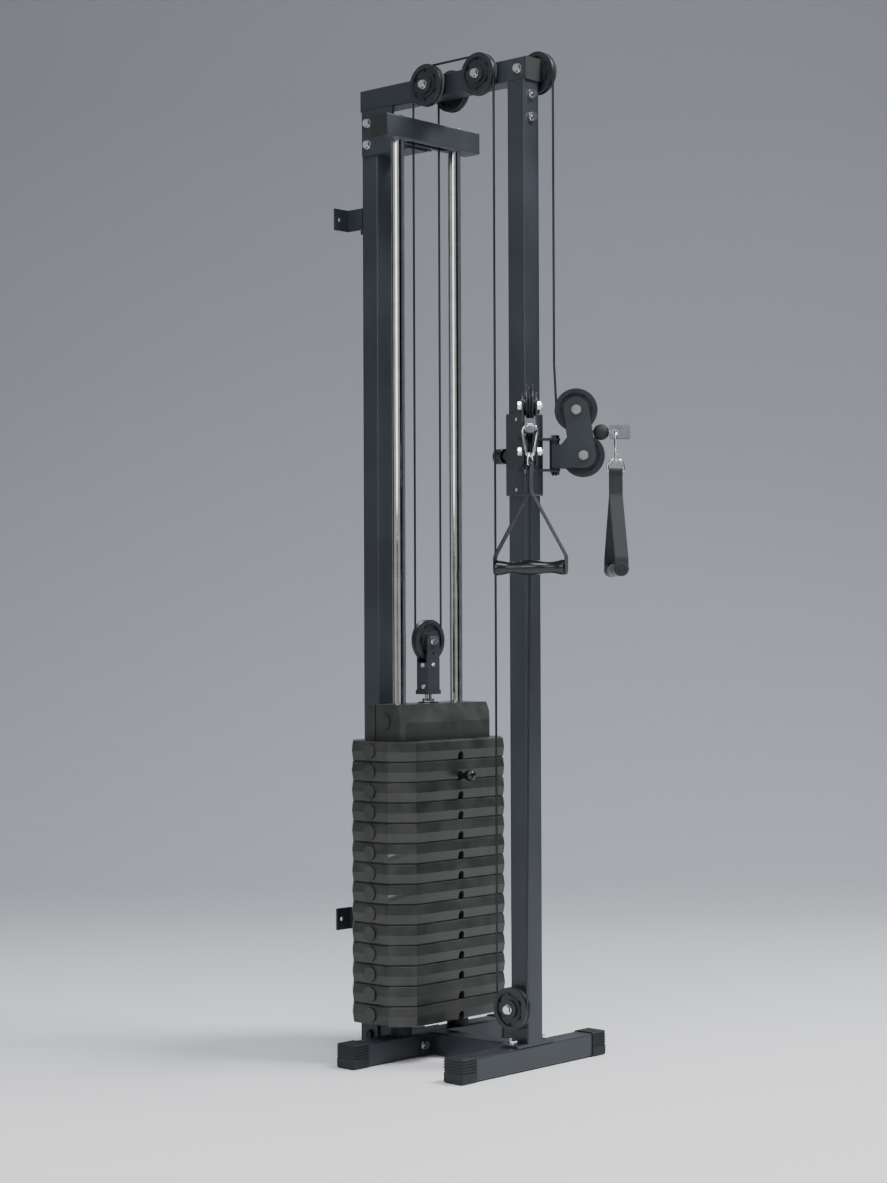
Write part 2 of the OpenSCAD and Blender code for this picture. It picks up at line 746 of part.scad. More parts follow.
module frame_bolts() {
    color([0.8, 0.8, 0.82]) {
        for (i = [-1, 1]) {
            translate([i * base_bolt_gap / 2, front_y, post_base_z])
                bolt(base_plate_t + tube_wall);
            translate([i * flange_bolt_gap / 2, front_y + half_w + flange_t, foot_z])
                rotate([-90, 0, 0]) bolt(flange_t + tube_wall);
            translate([i * flange_bolt_gap / 2, stack_y - half_w - flange_t, foot_z])
                rotate([90, 0, 0]) bolt(tube_w + 2 * flange_t);
            translate([0, stack_y + half_w + bracket_t, crossbeam_z0 + half_w + i * 12])
                rotate([-90, 0, 0]) bolt(bracket_t + tube_wall);
        }
        translate([-half_w - base_plate_t, rear_y, foot_z]) rotate([0, -90, 0])
            bolt(tube_w + 2 * base_plate_t);
        for (k = [0, 1]) {
            translate([0, front_y - half_w, spigot_bolt_z(k)]) rotate([90, 0, 0]) bolt(tube_w);
            translate([-half_w - bracket_t, rear_y, spigot_bolt_z(k)]) rotate([0, -90, 0])
                bolt(tube_w + 2 * bracket_t);
        }
        for (z = [wall_low_z, wall_high_z])
            translate([0, rear_y + half_w + wall_bracket_t, z]) rotate([-90, 0, 0])
                bolt(wall_bracket_t + tube_wall);
    }
}

// Weight stack

module plate_outline(w, d, c) {
    polygon([
        [-w / 2 + c, -d / 2], [w / 2 - c, -d / 2], [w / 2, -d / 2 + c], [w / 2, d / 2 - c],
        [w / 2 - c, d / 2], [-w / 2 + c, d / 2], [-w / 2, d / 2 - c], [-w / 2, -d / 2 + c]
    ]);
}

// Plate seen along its edge: bevels, and faces that lean out to the middle.
module plate_edge(w) {
    r = w / 2;
    b = plate_lean + plate_bevel;
    polygon([
        [-r + b, 0], [r - b, 0], [r - plate_lean, plate_bevel], [r, plate_t / 2],
        [r - plate_lean, plate_t - plate_bevel], [r - b, plate_t], [-r + b, plate_t],
        [-r + plate_lean, plate_t - plate_bevel], [-r, plate_t / 2],
        [-r + plate_lean, plate_bevel]
    ]);
}

// Weight plate on z = 0 with rod holes, stem hole and the notch for the pin.
module weight_plate() {
    long = plate_w + plate_d;
    diagonal = (plate_w + plate_d - 2 * plate_corner) / sqrt(2);
    hole_r = pin_d / 2 + 1.3;
    mouth_r = pin_d / 2 + 3.5;
    difference() {
        union() {
            intersection() {
                translate([0, -long / 2, 0]) along_y(long) plate_edge(plate_w);
                translate([-long / 2, 0, 0]) along_x(long) plate_edge(plate_d);
                rotate(45) translate([0, -long / 2, 0]) along_y(long) plate_edge(diagonal);
                rotate(-45) translate([0, -long / 2, 0]) along_y(long) plate_edge(diagonal);
            }
            translate([-plate_w / 2 - plate_boss_h, 0, plate_t / 2]) rotate([0, 90, 0])
                cylinder(r = plate_boss_d / 2, h = plate_w + 2 * plate_boss_h);
        }
        for (i = [-1, 1]) translate([i * rod_gap / 2, 0, -1])
            cylinder(r = rod_d / 2 + rod_clear, h = plate_t + 2);
        translate([0, 0, -1]) cylinder(r = stem_d / 2 + 0.8, h = plate_t + 2);
        pin_notch(hole_r, plate_d / 2 + 31);
        pin_notch(mouth_r, 11);
    }
}

// Arched notch from the front of a plate to the given depth.
module pin_notch(r, depth) {
    translate([0, -plate_d / 2 - 1, pin_up]) rotate([-90, 0, 0])
        cylinder(r = r, h = depth, $fn = 32);
    translate([-r, -plate_d / 2 - 1, -1]) cube([2 * r, depth, pin_up + 1]);
}

module lower_weight_plates() {
    color([0.2, 0.2, 0.22]) for (k = [0:plates_idle - 1])
        translate([0, stack_y, plates_z0 + k * plate_pitch]) weight_plate();
}

module lifted_weight_plates() {
    color([0.2, 0.2, 0.22]) for (k = [plates_idle:plate_count - 1])
        translate([0, stack_y, plates_z0 + k * plate_pitch]) weight_plate();
}

module top_plate() {
    w = top_plate_w / 2;
    d = top_plate_d / 2;
    z1 = top_plate_h - top_shoulder_h;
    color([0.2, 0.2, 0.22]) translate([0, stack_y, top_plate_z]) difference() {
        union() {
            intersection() {
                translate([-w, 0, 0]) along_x(2 * w) polygon([
                    [-d, 0], [d, 0], [d, z1], [d - top_shoulder_in, top_plate_h],
                    [-d + top_shoulder_in, top_plate_h], [-d, z1]
                ]);
                linear_extrude(top_plate_h)
                    plate_outline(top_plate_w, top_plate_d, top_plate_corner);
            }
            translate([-w - 3, -6, z1 + 2]) rotate([0, 90, 0])
                cylinder(r = top_boss_d / 2, h = 2 * w + 6);
        }
        for (i = [-1, 1]) {
            translate([i * rod_gap / 2, 0, -1])
                cylinder(r = rod_d / 2 + bush_clear, h = top_plate_h + 2);
            translate([i * w, 22, -1]) linear_extrude(top_plate_h + 2)
                square([5, 3], center = true);
        }
        translate([0, 0, -1]) cylinder(r = stem_d / 2 + fit_clear, h = 31);
        translate([0, 0, 20]) cylinder(r = 8 + fit_clear, h = top_plate_h);
    }
}

module selector_stem() {
    z0 = plates_z0 + 1;
    eye_z = top_plate_z + top_plate_h + 3;
    color([0.8, 0.8, 0.82]) translate([0, stack_y, 0]) difference() {
        union() {
            translate([0, 0, z0]) cylinder(r = stem_d / 2, h = top_plate_z + 30 - z0);
            translate([0, 0, top_plate_z + 29]) cylinder(r = 8, h = eye_z - top_plate_z - 9);
            translate([0, 0, eye_z]) cylinder(r = 14, h = 7, $fn = 6);
        }
        for (k = [0:plate_count - 1])
            translate([0, -stem_d, plates_z0 + k * plate_pitch + pin_up]) rotate([-90, 0, 0])
                cylinder(r = pin_d / 2 + 0.5, h = 2 * stem_d, $fn = 32);
    }
}

// Pin drawn at the selected plate, with its knob in front of the stack.
module selector_pin() {
    y0 = -plate_d / 2 - seat_clear;
    color([0.1, 0.1, 0.11]) translate([0, stack_y, pin_z]) {
        translate([0, y0 - 4, 0]) rotate([-90, 0, 0])
            cylinder(r = pin_d / 2, h = -y0 + stem_d / 2 + 10);
        translate([0, y0 - pin_knob_out, 0]) {
            sphere(pin_knob_d / 2);
            rotate([-90, 0, 0]) cylinder(r = pin_d / 2 + 2, h = pin_knob_out);
        }
    }
}

// Pulley block over the top plate: closed box below, two side plates above.
module block_frame() {
    w = block_w;
    z0 = block_z - 112;
    z1 = block_z - pulley_d / 2 - 3;
    color([0.12, 0.12, 0.13]) translate([0, stack_y, 0]) {
        difference() {
            union() {
                translate([-w / 2, -cheek_out, z0]) cube([w, 2 * cheek_out, z1 - z0]);
                for (j = [-1, 1]) translate([0, j * (cheek_in + cheek_t / 2) - cheek_t / 2, 0])
                    along_y(cheek_t) union() {
                        translate([0, block_z]) circle(w / 2);
                        translate([-w / 2, z0]) square([w, block_z - z0]);
                    }
                translate([-w / 2 - 2, -cheek_out - 2, z0 - 10])
                    cube([w + 4, 2 * cheek_out + 4, 10]);
            }
            translate([-w / 2 + 4, -cheek_in, z0]) cube([w - 8, 2 * cheek_in, z1]);
            translate([0, -tube_w, block_z]) rotate([-90, 0, 0]) bolt_hole(2 * tube_w);
            translate([0, -tube_w, block_z - 29]) rotate([-90, 0, 0])
                cylinder(r = 3, h = tube_w);
            translate([0, 0, z0 - 11]) cylinder(r = 8 + fit_clear, h = 12);
        }
        translate([0, 0, top_plate_z + top_plate_h]) difference() {
            cylinder(r = 23, h = 3 - fit_clear);
            translate([0, 0, -1]) cylinder(r = 8 + fit_clear, h = 5);
        }
    }
}

module block_axle() {
    color([0.8, 0.8, 0.82]) translate([0, stack_y, block_z]) {
        translate([0, -cheek_out, 0]) rotate([90, 0, 0]) bolt(2 * cheek_out);
        rotate([90, 0, 0]) bearing(2 * cheek_in);
        translate([0, -cheek_out, -56]) rotate([90, 0, 0]) cap_screw();
        for (v = [[-3, -56], [-5, -105]]) translate([-block_w / 2, v[0], v[1]])
            rotate([0, -90, 0]) cap_screw();
    }
}

// Low round screw head on the face z = 0.
module cap_screw() {
    cylinder(r1 = 6, r2 = 5, h = 2.5);
    cylinder(r1 = 4, r2 = 3, h = 4);
}

module block_pulley() {
    color([0.09, 0.09, 0.1]) translate([0, stack_y, block_z]) rotate([90, 0, 0]) pulley();
}

// Frame pulleys and cable

module frame_pulley(side, y, z) {
    translate([side * cable_x, front_y + y, z]) rotate([0, 90, 0]) pulley();
}

module rear_left_pulley() {
    color([0.09, 0.09, 0.1]) frame_pulley(-1, rear_pulley_y, beam_mid_z);
}

module rear_right_pulley() {
    color([0.09, 0.09, 0.1]) frame_pulley(1, rear_pulley_y, beam_mid_z);
}

module front_left_pulley() {
    color([0.09, 0.09, 0.1]) frame_pulley(-1, front_left_y, beam_mid_z);
}

module front_right_pulley() {
    color([0.09, 0.09, 0.1]) frame_pulley(1, front_right_y, beam_mid_z);
}

module base_pulley() {
    color([0.09, 0.09, 0.1]) frame_pulley(-1, base_pulley_y, base_pulley_z);
}

// Bearing ring and spacer of a pulley on the side of a tube.
module axle_side(side, y, z) {
    translate([side * cable_x, front_y + y, z]) rotate([0, 90, 0]) {
        bearing(hub_len);
        translate([0, 0, -side * (hub_half + spacer_len / 2)]) difference() {
            cylinder(r = 11, h = spacer_len, center = true);
            cylinder(r = bolt_r + fit_clear, h = spacer_len + 1, center = true);
        }
    }
}

module pulley_axles() {
    out = cable_x + hub_half;
    color([0.8, 0.8, 0.82]) {
        for (i = [-1, 1]) axle_side(i, rear_pulley_y, beam_mid_z);
        translate([-out, front_y + rear_pulley_y, beam_mid_z]) rotate([0, -90, 0]) bolt(2 * out);
        axle_side(-1, front_left_y, beam_mid_z);
        translate([-out, front_y + front_left_y, beam_mid_z]) rotate([0, -90, 0])
            bolt(out + half_w);
        axle_side(1, front_right_y, beam_mid_z);
        translate([-half_w, front_y + front_right_y, beam_mid_z]) rotate([0, -90, 0])
            bolt(out + half_w);
        axle_side(-1, base_pulley_y, base_pulley_z);
        translate([-out, front_y + base_pulley_y, base_pulley_z]) rotate([0, -90, 0])
            bolt(out + half_w);
    }
}

// The runs over the top beam and down to the base pulley. Here the first
// coordinate is the distance behind the front post.
module frame_cables() {
    c_y = front_left_y - pulley_pitch_r;
    color([0.05, 0.05, 0.05]) {
        side_plane(cable_x) {
            cable_bend([front_right_y, beam_mid_z], 90, 90);
            cable_line([front_right_y, top_run_z], [rear_pulley_y, top_run_z]);
            cable_bend([rear_pulley_y, beam_mid_z], 0, 90);
        }
        side_plane(-cable_x) {
            cable_bend([rear_pulley_y, beam_mid_z], 0, 90);
            cable_line([front_left_y, top_run_z], [rear_pulley_y, top_run_z]);
            cable_bend([front_left_y, beam_mid_z], 90, 90);
            cable_line([c_y, base_pulley_z], [c_y, beam_mid_z]);
            cable_bend([base_pulley_y, base_pulley_z], 180, 180);
        }
    }
}

module upper_cable_run() {
    color([0.05, 0.05, 0.05]) side_plane(cable_x)
        cable_line([-hinge_out, carriage_z + lead_in + cable_gap], [-hinge_out, beam_mid_z]);
}

module lower_cable_run() {
    color([0.05, 0.05, 0.05]) side_plane(-cable_x)
        cable_line([base_pulley_y - pulley_pitch_r, base_pulley_z + fit_clear],
                   [-hinge_out, carriage_z - lead_in - cable_gap]);
}

module lift_cable() {
    color([0.05, 0.05, 0.05]) translate([0, stack_y, 0]) {
        for (i = [-1, 1]) cable_line([i * cable_x, block_z], [i * cable_x, beam_mid_z]);
        cable_bend([0, block_z], 180, 180);
    }
}

// Carriage

module ear_shape(side) {
    hull_y = -hinge_out;
    translate([side * cable_x, hull_y]) circle(ear_r);
    polygon([
        [side * (carriage_w / 2 - 20), -carriage_w / 2],
        [side * carriage_w / 2, -carriage_w / 2 + 22],
        [side * (cable_x + ear_r * 0.92), hull_y + ear_r * 0.38],
        [side * (cable_x - ear_r * 0.5), hull_y - ear_r * 0.86]
    ]);
}

module carriage_sleeve() {
    inner = carriage_w - 2 * carriage_wall;
    barrel_y = carriage_w / 2;
    color([0.12, 0.12, 0.13]) translate([0, front_y, carriage_z]) difference() {
        union() {
            translate([0, 0, -carriage_h / 2]) intersection() {
                linear_extrude(carriage_h) rounded(carriage_w, carriage_w, 5);
                translate([0, -carriage_w / 2, 0]) along_y(carriage_w)
                    bevelled_edge(carriage_w, carriage_h, carriage_bevel);
                translate([-carriage_w / 2, 0, 0]) along_x(carriage_w)
                    bevelled_edge(carriage_w, carriage_h, carriage_bevel);
            }
            for (i = [-1, 1], j = [-1, 1])
                translate([0, 0, j * (ear_half + ear_t / 2) - ear_t / 2]) linear_extrude(ear_t)
                    ear_shape(i);
            translate([0, barrel_y - 1, 0]) rotate([-90, 0, 0]) {
                cylinder(r = 16, h = 5);
                cylinder(r = 11, h = barrel_len + 1);
            }
        }
        translate([0, 0, -carriage_h / 2 - 1]) linear_extrude(carriage_h + 2)
            rounded(inner, inner, 1.5);
        for (i = [-1, 1]) {
            translate([i * cable_x, -hinge_out, -2 * ear_half])
                cylinder(r = hinge_d / 2 + fit_clear, h = 4 * ear_half);
            translate([-carriage_w / 2 - 1, 0, i * (carriage_h / 2 - 13)]) rotate([0, 90, 0])
                cylinder(r = sleeve_hole_d / 2, h = carriage_w + 2, $fn = 32);
        }
        translate([0, barrel_y - 10, 0]) rotate([-90, 0, 0]) {
            cylinder(r = plunger_d / 2 + fit_clear, h = barrel_len + 12);
            translate([0, 0, 16]) cylinder(r = 8, h = barrel_len - 10);
        }
    }
}

module carriage_glides() {
    outer = carriage_w - 2 * carriage_wall - 0.04;
    inner = tube_w + 2 * glide_clear;
    color([0.6, 0.6, 0.58]) for (j = [-1, 1])
        translate([0, front_y, carriage_z + j * (carriage_h / 2 - glide_h / 2) - glide_h / 2])
            linear_extrude(glide_h) difference() {
                rounded(outer, outer, 1.5);
                rounded(inner, inner, tube_r);
            }
}

module hinge_pins() {
    top = ear_half + ear_t;
    color([0.8, 0.8, 0.82]) for (i = [-1, 1])
        translate([i * cable_x, front_y - hinge_out, carriage_z]) {
            translate([0, 0, top]) cylinder(r = 11, h = 6.5, $fn = 6);
            translate([0, 0, -top - 10]) cylinder(r = hinge_d / 2, h = 2 * top + 11);
            translate([0, 0, -top - 8]) difference() {
                cylinder(r = 11, h = 8, $fn = 6);
                translate([0, 0, -1]) cylinder(r = hinge_d / 2 + fit_clear, h = 10);
            }
        }
}

// Spring room of the pop pin, from the plunger's collar to the barrel's end.
pop_room_y0 = carriage_w / 2 + 6;
pop_room_y1 = carriage_w / 2 + barrel_len - 4;
collar_t = 2.5;

module pop_pin_spring() {
    y0 = pop_room_y0 + collar_t + fit_clear;
    color([0.6, 0.6, 0.62]) translate([0, front_y + y0, carriage_z])
        rotate([-90, 0, 0]) difference() {
            cylinder(r = 7.2, h = pop_room_y1 - y0 - fit_clear);
            translate([0, 0, -1]) cylinder(r = plunger_d / 2 + 0.4, h = 60);
        }
}

module pop_pin() {
    tip_y = half_w - tube_wall - 2.5;
    knob_y = carriage_w / 2 + barrel_len + 2;
    color([0.1, 0.1, 0.11]) translate([0, front_y, carriage_z]) rotate([-90, 0, 0]) {
        translate([0, 0, tip_y]) cylinder(r = plunger_d / 2, h = knob_y - tip_y + 4);
        translate([0, 0, pop_room_y0 + fit_clear]) cylinder(r = 7.6, h = collar_t - fit_clear);
        translate([0, 0, knob_y]) difference() {
            cylinder(r = pop_knob_d / 2, h = pop_knob_len);
            for (k = [0:11]) rotate(k * 30) translate([pop_knob_d / 2 + 1.6, 0, 4])
                cylinder(r = 3.2, h = pop_knob_len, $fn = 24);
        }
    }
}

// Swivel heads, drawn with x outward from the swivel axis

module cheek_shape() {
    dx = upper_out - lower_out;
    dz = upper_up - lower_up;
    translate([lower_out, lower_up]) rotate(atan2(dz, dx))
        link_shape(cheek_r, cheek_r, norm([dx, dz]));
    polygon([
        [-6, -29], [lower_out, lower_up - cheek_r], [lower_out, upper_up / 2],
        [lower_out - cheek_r + 2, upper_up / 2], [14, 22], [-6, 22]
    ]);
}

module head_frame() {
    sleeve_z0 = -ear_half + 0.2;
    bolt_hole_r = bolt_r + fit_clear;
    difference() {
        union() {
            translate([0, 0, sleeve_z0]) cylinder(r = 11, h = 2 * ear_half - 0.5);
            for (j = [-1, 1]) {
                translate([0, j * (cheek_in + cheek_t / 2) - cheek_t / 2, 0])
                    along_y(cheek_t) cheek_shape();
                translate([-6, j * (cheek_out + 6) / 2 - (cheek_out - 6) / 2, -29])
                    cube([19, cheek_out - 6, 51]);
            }
        }
        translate([0, 0, -2 * ear_half]) cylinder(r = hinge_d / 2 + fit_clear, h = 4 * ear_half);
        for (p = [[upper_out, upper_up], [lower_out, lower_up]])
            translate([p[0], -tube_w, p[1]]) rotate([-90, 0, 0])
                cylinder(r = bolt_hole_r, h = 2 * tube_w);
    }
}

module head_axles() {
    for (p = [[upper_out, upper_up], [lower_out, lower_up]]) translate([p[0], 0, p[1]]) {
        translate([0, -cheek_out, 0]) rotate([90, 0, 0]) bolt(2 * cheek_out);
        rotate([90, 0, 0]) bearing(2 * cheek_in);
    }
}

// Direction of the line from p that touches the pitch circle round c, with
// the circle on its left (side 1) or its right (side -1).
function touch_angle(p, c, side) =
    atan2(c[1] - p[1], c[0] - p[0]) - side * asin(pulley_pitch_r / norm(c - p));
// Direction of the line from the pitch circle round c to p.
function leave_angle(p, c, side) =
    atan2(p[1] - c[1], p[0] - c[0]) + side * asin(pulley_pitch_r / norm(c - p));
// Point where a line with direction a touches the circle round c.
function touch_point(c, a, side) =
    c + side * pulley_pitch_r * [sin(a), -cos(a)];

// Cable from the lead-in over a wheel to the stop; side is 1 where the wheel
// lies on the left of the cable's way, and -1 where it lies on the right.
module head_cable(side) {
    start = [0, side * lead_in];
    c = side > 0 ? [upper_out, upper_up] : [lower_out, lower_up];
    end = [stop_out, stop_up];
    a_in = touch_angle(start, c, side);
    a_out = leave_angle(end, c, side);
    len_in = norm(start - touch_point(c, a_in, side));
    len_out = norm(end - touch_point(c, a_out, side)) - stop_d / 2 - fit_clear;
    cable_bend(c, (side > 0 ? a_in : a_out) - side * 90, side * (a_out - a_in));
    cable_tangent(c, a_in - side * 90, -side, len_in);
    cable_tangent(c, a_out - side * 90, side, len_out);
}

module head_wheel(out, up) {
    translate([out, 0, up]) rotate([90, 0, 0]) pulley();
}

module cable_stop() {
    translate([stop_out, 0, stop_up]) rotate([0, 90, 0]) rotate_extrude() difference() {
        circle(stop_d / 2);
        translate([-stop_d, -stop_d]) square([stop_d, 2 * stop_d]);
    }
}

// Fork of bent sheet on the cable's end, with a hole for the snap hook.
module end_shackle() {
    half = shackle_gap / 2 + shackle_t;
    difference() {
        union() {
            translate([shackle_s, -half, stop_up - shackle_h / 2])
                cube([shackle_len, 2 * half, shackle_h]);
            translate([shackle_s - seat_clear - 3, 0, stop_up]) rotate([0, 90, 0])
                cylinder(r = 6, h = 5);
        }
        translate([shackle_s + shackle_t, -shackle_gap / 2, stop_up - shackle_h])
            cube([shackle_len, shackle_gap, 2 * shackle_h]);
        translate([hook_s, -tube_w, stop_up]) rotate([-90, 0, 0])
            cylinder(r = shackle_hole_d / 2, h = 2 * tube_w);
        translate([stop_out, 0, stop_up]) sphere(stop_d / 2 + seat_clear);
    }
}

hook_top_c = hook_top_z - hook_top_r;
hook_low_c = hook_low_z + hook_low_r;
// Lean of the hook's legs, and where they touch the two bends.
hook_lean = asin((hook_top_r - hook_low_r) / (hook_top_c - hook_low_c));
leg_top = [hook_top_r * cos(hook_lean), hook_top_c - hook_top_r * sin(hook_lean)];
leg_low = [hook_low_r * cos(hook_lean), hook_low_c - hook_low_r * sin(hook_lean)];
leg_dir = [sin(hook_lean), cos(hook_lean)];
gate_pivot = leg_low + 9 * leg_dir;
gate_len = norm(leg_top - gate_pivot) - 8;

// Wire bend in the plane x = 0 with its middle at height z.
module wire_bend(z, r, wire_r, a0, turn) {
    translate([0, 0, z]) rotate([90, 0, 90]) rotate([0, 0, a0])
        rotate_extrude(angle = turn) translate([r, 0]) circle(wire_r, $fn = 32);
}

// Straight wire in the plane x = 0, from one [y, z] to another. It laps into
// the bend at its start, and at its end where over is 1.
module wire_line(a, b, wire_r, over) {
    translate([0, a[0], a[1]]) rotate([-atan2(b[0] - a[0], b[1] - a[1]), 0, 0])
        translate([0, 0, -lap])
            cylinder(r = wire_r - lap_step, h = norm(b - a) + lap + over * lap, $fn = 32);
}

module snap_hook() {
    r = hook_wire_d / 2;
    translate([hook_s, 0, 0]) {
        wire_bend(hook_top_c, hook_top_r, r, -hook_lean, 180 + 2 * hook_lean);
        wire_bend(hook_low_c, hook_low_r, r, 180 + hook_lean, 180 - 2 * hook_lean);
        wire_line([-leg_low[0], leg_low[1]], [-leg_top[0], leg_top[1]], r, 1);
        wire_line(leg_top, gate_pivot + (gate_len + seat_clear) * leg_dir, r, 0);
        wire_line(leg_low, gate_pivot - 4 * leg_dir, r, 0);
        translate([0, gate_pivot[0], gate_pivot[1]]) rotate([-hook_lean, 0, 0]) {
            difference() {
                union() {
                    translate([-r - 2, -r - 0.5, -7]) cube([2 * r + 4, 2 * r + 1, 7]);
                    rotate([0, 90, 0]) cylinder(r = r + 0.5, h = 2 * r + 4, center = true);
                }
                translate([-r - 0.2, -10, -r - 0.6]) cube([2 * r + 0.4, 20, 20]);
            }
            rotate([0, 90, 0]) cylinder(r = 1.2, h = 2 * r + 3, center = true, $fn = 24);
        }
    }
}

module hook_gate() {
    r = hook_wire_d / 2;
    translate([hook_s, gate_pivot[0], gate_pivot[1]]) rotate([-hook_lean, 0, 0])
        difference() {
            union() {
                cylinder(r = r - 0.3, h = gate_len, $fn = 32);
                rotate([0, 90, 0]) cylinder(r = r, h = 2 * r, center = true);
            }
            rotate([0, 90, 0]) cylinder(r = 1.25, h = 3 * r, center = true, $fn = 24);
        }
}

// D ring in the plane y = 0, with a half-moon web and a slot for the hook.
module ring(turn) {
    r = ring_wire_d / 2;
    mid_z = ring_top_z - ring_r;
    slot_r = hook_wire_d / 2 + 2;
    slot_z = ring_top_z - hook_wire_d - r - 1.9 + slot_r;
    translate([hook_s, 0, 0]) rotate([0, 0, turn]) {
        translate([0, 0, mid_z]) rotate([90, 0, 0]) rotate_extrude(angle = 180)
            translate([ring_r, 0]) circle(r, $fn = 32);
        for (i = [-1, 1]) {
            translate([i * ring_r, 0, ring_bar_z])
                cylinder(r = r, h = mid_z - ring_bar_z, $fn = 32);
            translate([i * ring_r, 0, ring_bar_z]) sphere(r, $fn = 32);
        }
        translate([-ring_r, 0, ring_bar_z]) rotate([0, 90, 0])
            cylinder(r = r, h = 2 * ring_r, $fn = 32);
        translate([0, -1, 0]) along_y(2) difference() {
            intersection() {
                translate([0, mid_z]) circle(ring_r);
                translate([-ring_r, strap_top_z + seat_clear]) square(2 * ring_r);
            }
            translate([0, slot_z]) circle(slot_r);
            translate([-slot_r, slot_z]) square([2 * slot_r, ring_r]);
        }
    }
}

// Webbing strap: a sewn loop on the ring, two legs, and the core in the grip.
module strap(turn) {
    top_r = ring_wire_d / 2 + seat_clear + strap_t;
    leg_y = grip_len / 2 + 1;
    sewn_z = strap_top_z - strap_sewn;
    bend_z = grip_z + 19.5;
    t = strap_t;
    translate([hook_s, 0, 0]) rotate([0, 0, turn]) difference() {
        union() {
            translate([-strap_w / 2, 0, 0]) {
                translate([0, 0, ring_bar_z]) rotate([0, 90, 0])
                    cylinder(r = top_r, h = strap_w);
                for (j = [-1, 1]) along_x(strap_w) polygon([
                    [0, ring_bar_z], [j * top_r, ring_bar_z], [j * t, ring_bar_z - 14],
                    [j * t, sewn_z], [j * (leg_y + t), bend_z], [j * (leg_y + t), grip_z],
                    [j * leg_y, grip_z], [j * leg_y, bend_z], [0, sewn_z - 1]
                ]);
            }
            for (j = [-1, 1]) translate([0, j * (leg_y + t / 2), grip_z]) rotate([90, 0, 0])
                cylinder(r = strap_w / 2, h = t, center = true);
            translate([0, 0, grip_z]) rotate([90, 0, 0])
                cylinder(r = grip_core_r, h = 2 * leg_y + 1, center = true);
        }
        translate([-strap_w, 0, ring_bar_z]) rotate([0, 90, 0])
            cylinder(r = ring_wire_d / 2 + seat_clear, h = 2 * strap_w);
    }
}

// Foam grip, free to turn on the strap's core: a barrel, two necks and flared ends.
module grip(turn) {
    h = grip_len / 2 - 0.2;
    er = grip_end_d / 2;
    nr = grip_neck_d / 2;
    half = [
        [grip_bore_r, h], [er - 1, h], [er, h - 1], [er, h - 5], [nr + 1.2, h - 19],
        [nr, h - 26], [nr + 0.6, h - 33]
    ];
    translate([hook_s, 0, grip_z]) rotate([90, 0, turn]) rotate_extrude() polygon(concat(
        half, [[grip_d / 2, 14], [grip_d / 2, -14]],
        [for (i = [6:-1:0]) [half[i][0], -half[i][1]]]
    ));
}

module right_head_frame() { color([0.12, 0.12, 0.13]) head_place(1) head_frame(); }
module right_head_axles() { color([0.8, 0.8, 0.82]) head_place(1) head_axles(); }
module right_head_cable() { color([0.05, 0.05, 0.05]) head_place(1) head_cable(1); }
module right_upper_wheel() { color([0.09, 0.09, 0.1]) head_place(1) head_wheel(upper_out, upper_up); }
module right_lower_wheel() { color([0.09, 0.09, 0.1]) head_place(1) head_wheel(lower_out, lower_up); }
module right_cable_stop() { color([0.07, 0.07, 0.075]) head_place(1) cable_stop(); }
module right_end_shackle() { color([0.7, 0.7, 0.72]) head_place(1) end_shackle(); }
module right_snap_hook() { color([0.8, 0.8, 0.82]) head_place(1) snap_hook(); }
module right_hook_gate() { color([0.8, 0.8, 0.82]) head_place(1) hook_gate(); }
module right_ring() { color([0.8, 0.8, 0.82]) head_place(1) ring(right_handle_turn); }
module right_strap() { color([0.1, 0.1, 0.13]) head_place(1) strap(right_handle_turn); }
module right_grip() { color([0.09, 0.09, 0.1]) head_place(1) grip(right_handle_turn); }

module left_head_frame() { color([0.12, 0.12, 0.13]) head_place(-1) head_frame(); }
module left_head_axles() { color([0.8, 0.8, 0.82]) head_place(-1) head_axles(); }
module left_head_cable() { color([0.05, 0.05, 0.05]) head_place(-1) head_cable(-1); }
module left_upper_wheel() { color([0.09, 0.09, 0.1]) head_place(-1) head_wheel(upper_out, upper_up); }
module left_lower_wheel() { color([0.09, 0.09, 0.1]) head_place(-1) head_wheel(lower_out, lower_up); }
module left_cable_stop() { color([0.07, 0.07, 0.075]) head_place(-1) cable_stop(); }
module left_end_shackle() { color([0.7, 0.7, 0.72]) head_place(-1) end_shackle(); }
module left_snap_hook() { color([0.8, 0.8, 0.82]) head_place(-1) snap_hook(); }
module left_hook_gate() { color([0.8, 0.8, 0.82]) head_place(-1) hook_gate(); }
module left_ring() { color([0.8, 0.8, 0.82]) head_place(-1) ring(left_handle_turn); }
module left_strap() { color([0.1, 0.1, 0.13]) head_place(-1) strap(left_handle_turn); }
module left_grip() { color([0.09, 0.09, 0.1]) head_place(-1) grip(left_handle_turn); }

front_foot();
rear_foot();
base_beams();
tube_caps();
front_post();
rear_post();
top_beam();
crossbeam();
crossbeam_bracket();
wall_brackets();
guide_rods();
rod_bumpers();
frame_bolts();
lower_weight_plates();
pulley_axles();
frame_cables();
upper_cable_run();
lower_cable_run();
lift_cable();
rear_left_pulley();
rear_right_pulley();
front_left_pulley();
front_right_pulley();
base_pulley();
top_plate();
lifted_weight_plates();
selector_stem();
block_frame();
block_axle();
block_pulley();
selector_pin();
carriage_sleeve();
carriage_glides();
hinge_pins();
pop_pin_spring();
pop_pin();
right_head_frame();
right_head_axles();
right_head_cable();
right_upper_wheel();
right_lower_wheel();
right_cable_stop();
right_end_shackle();
right_snap_hook();
right_hook_gate();
right_ring();
right_strap();
right_grip();
left_head_frame();
left_head_axles();
left_head_cable();
left_upper_wheel();
left_lower_wheel();
left_cable_stop();
left_end_shackle();
left_snap_hook();
left_hook_gate();
left_ring();
left_strap();
left_grip();
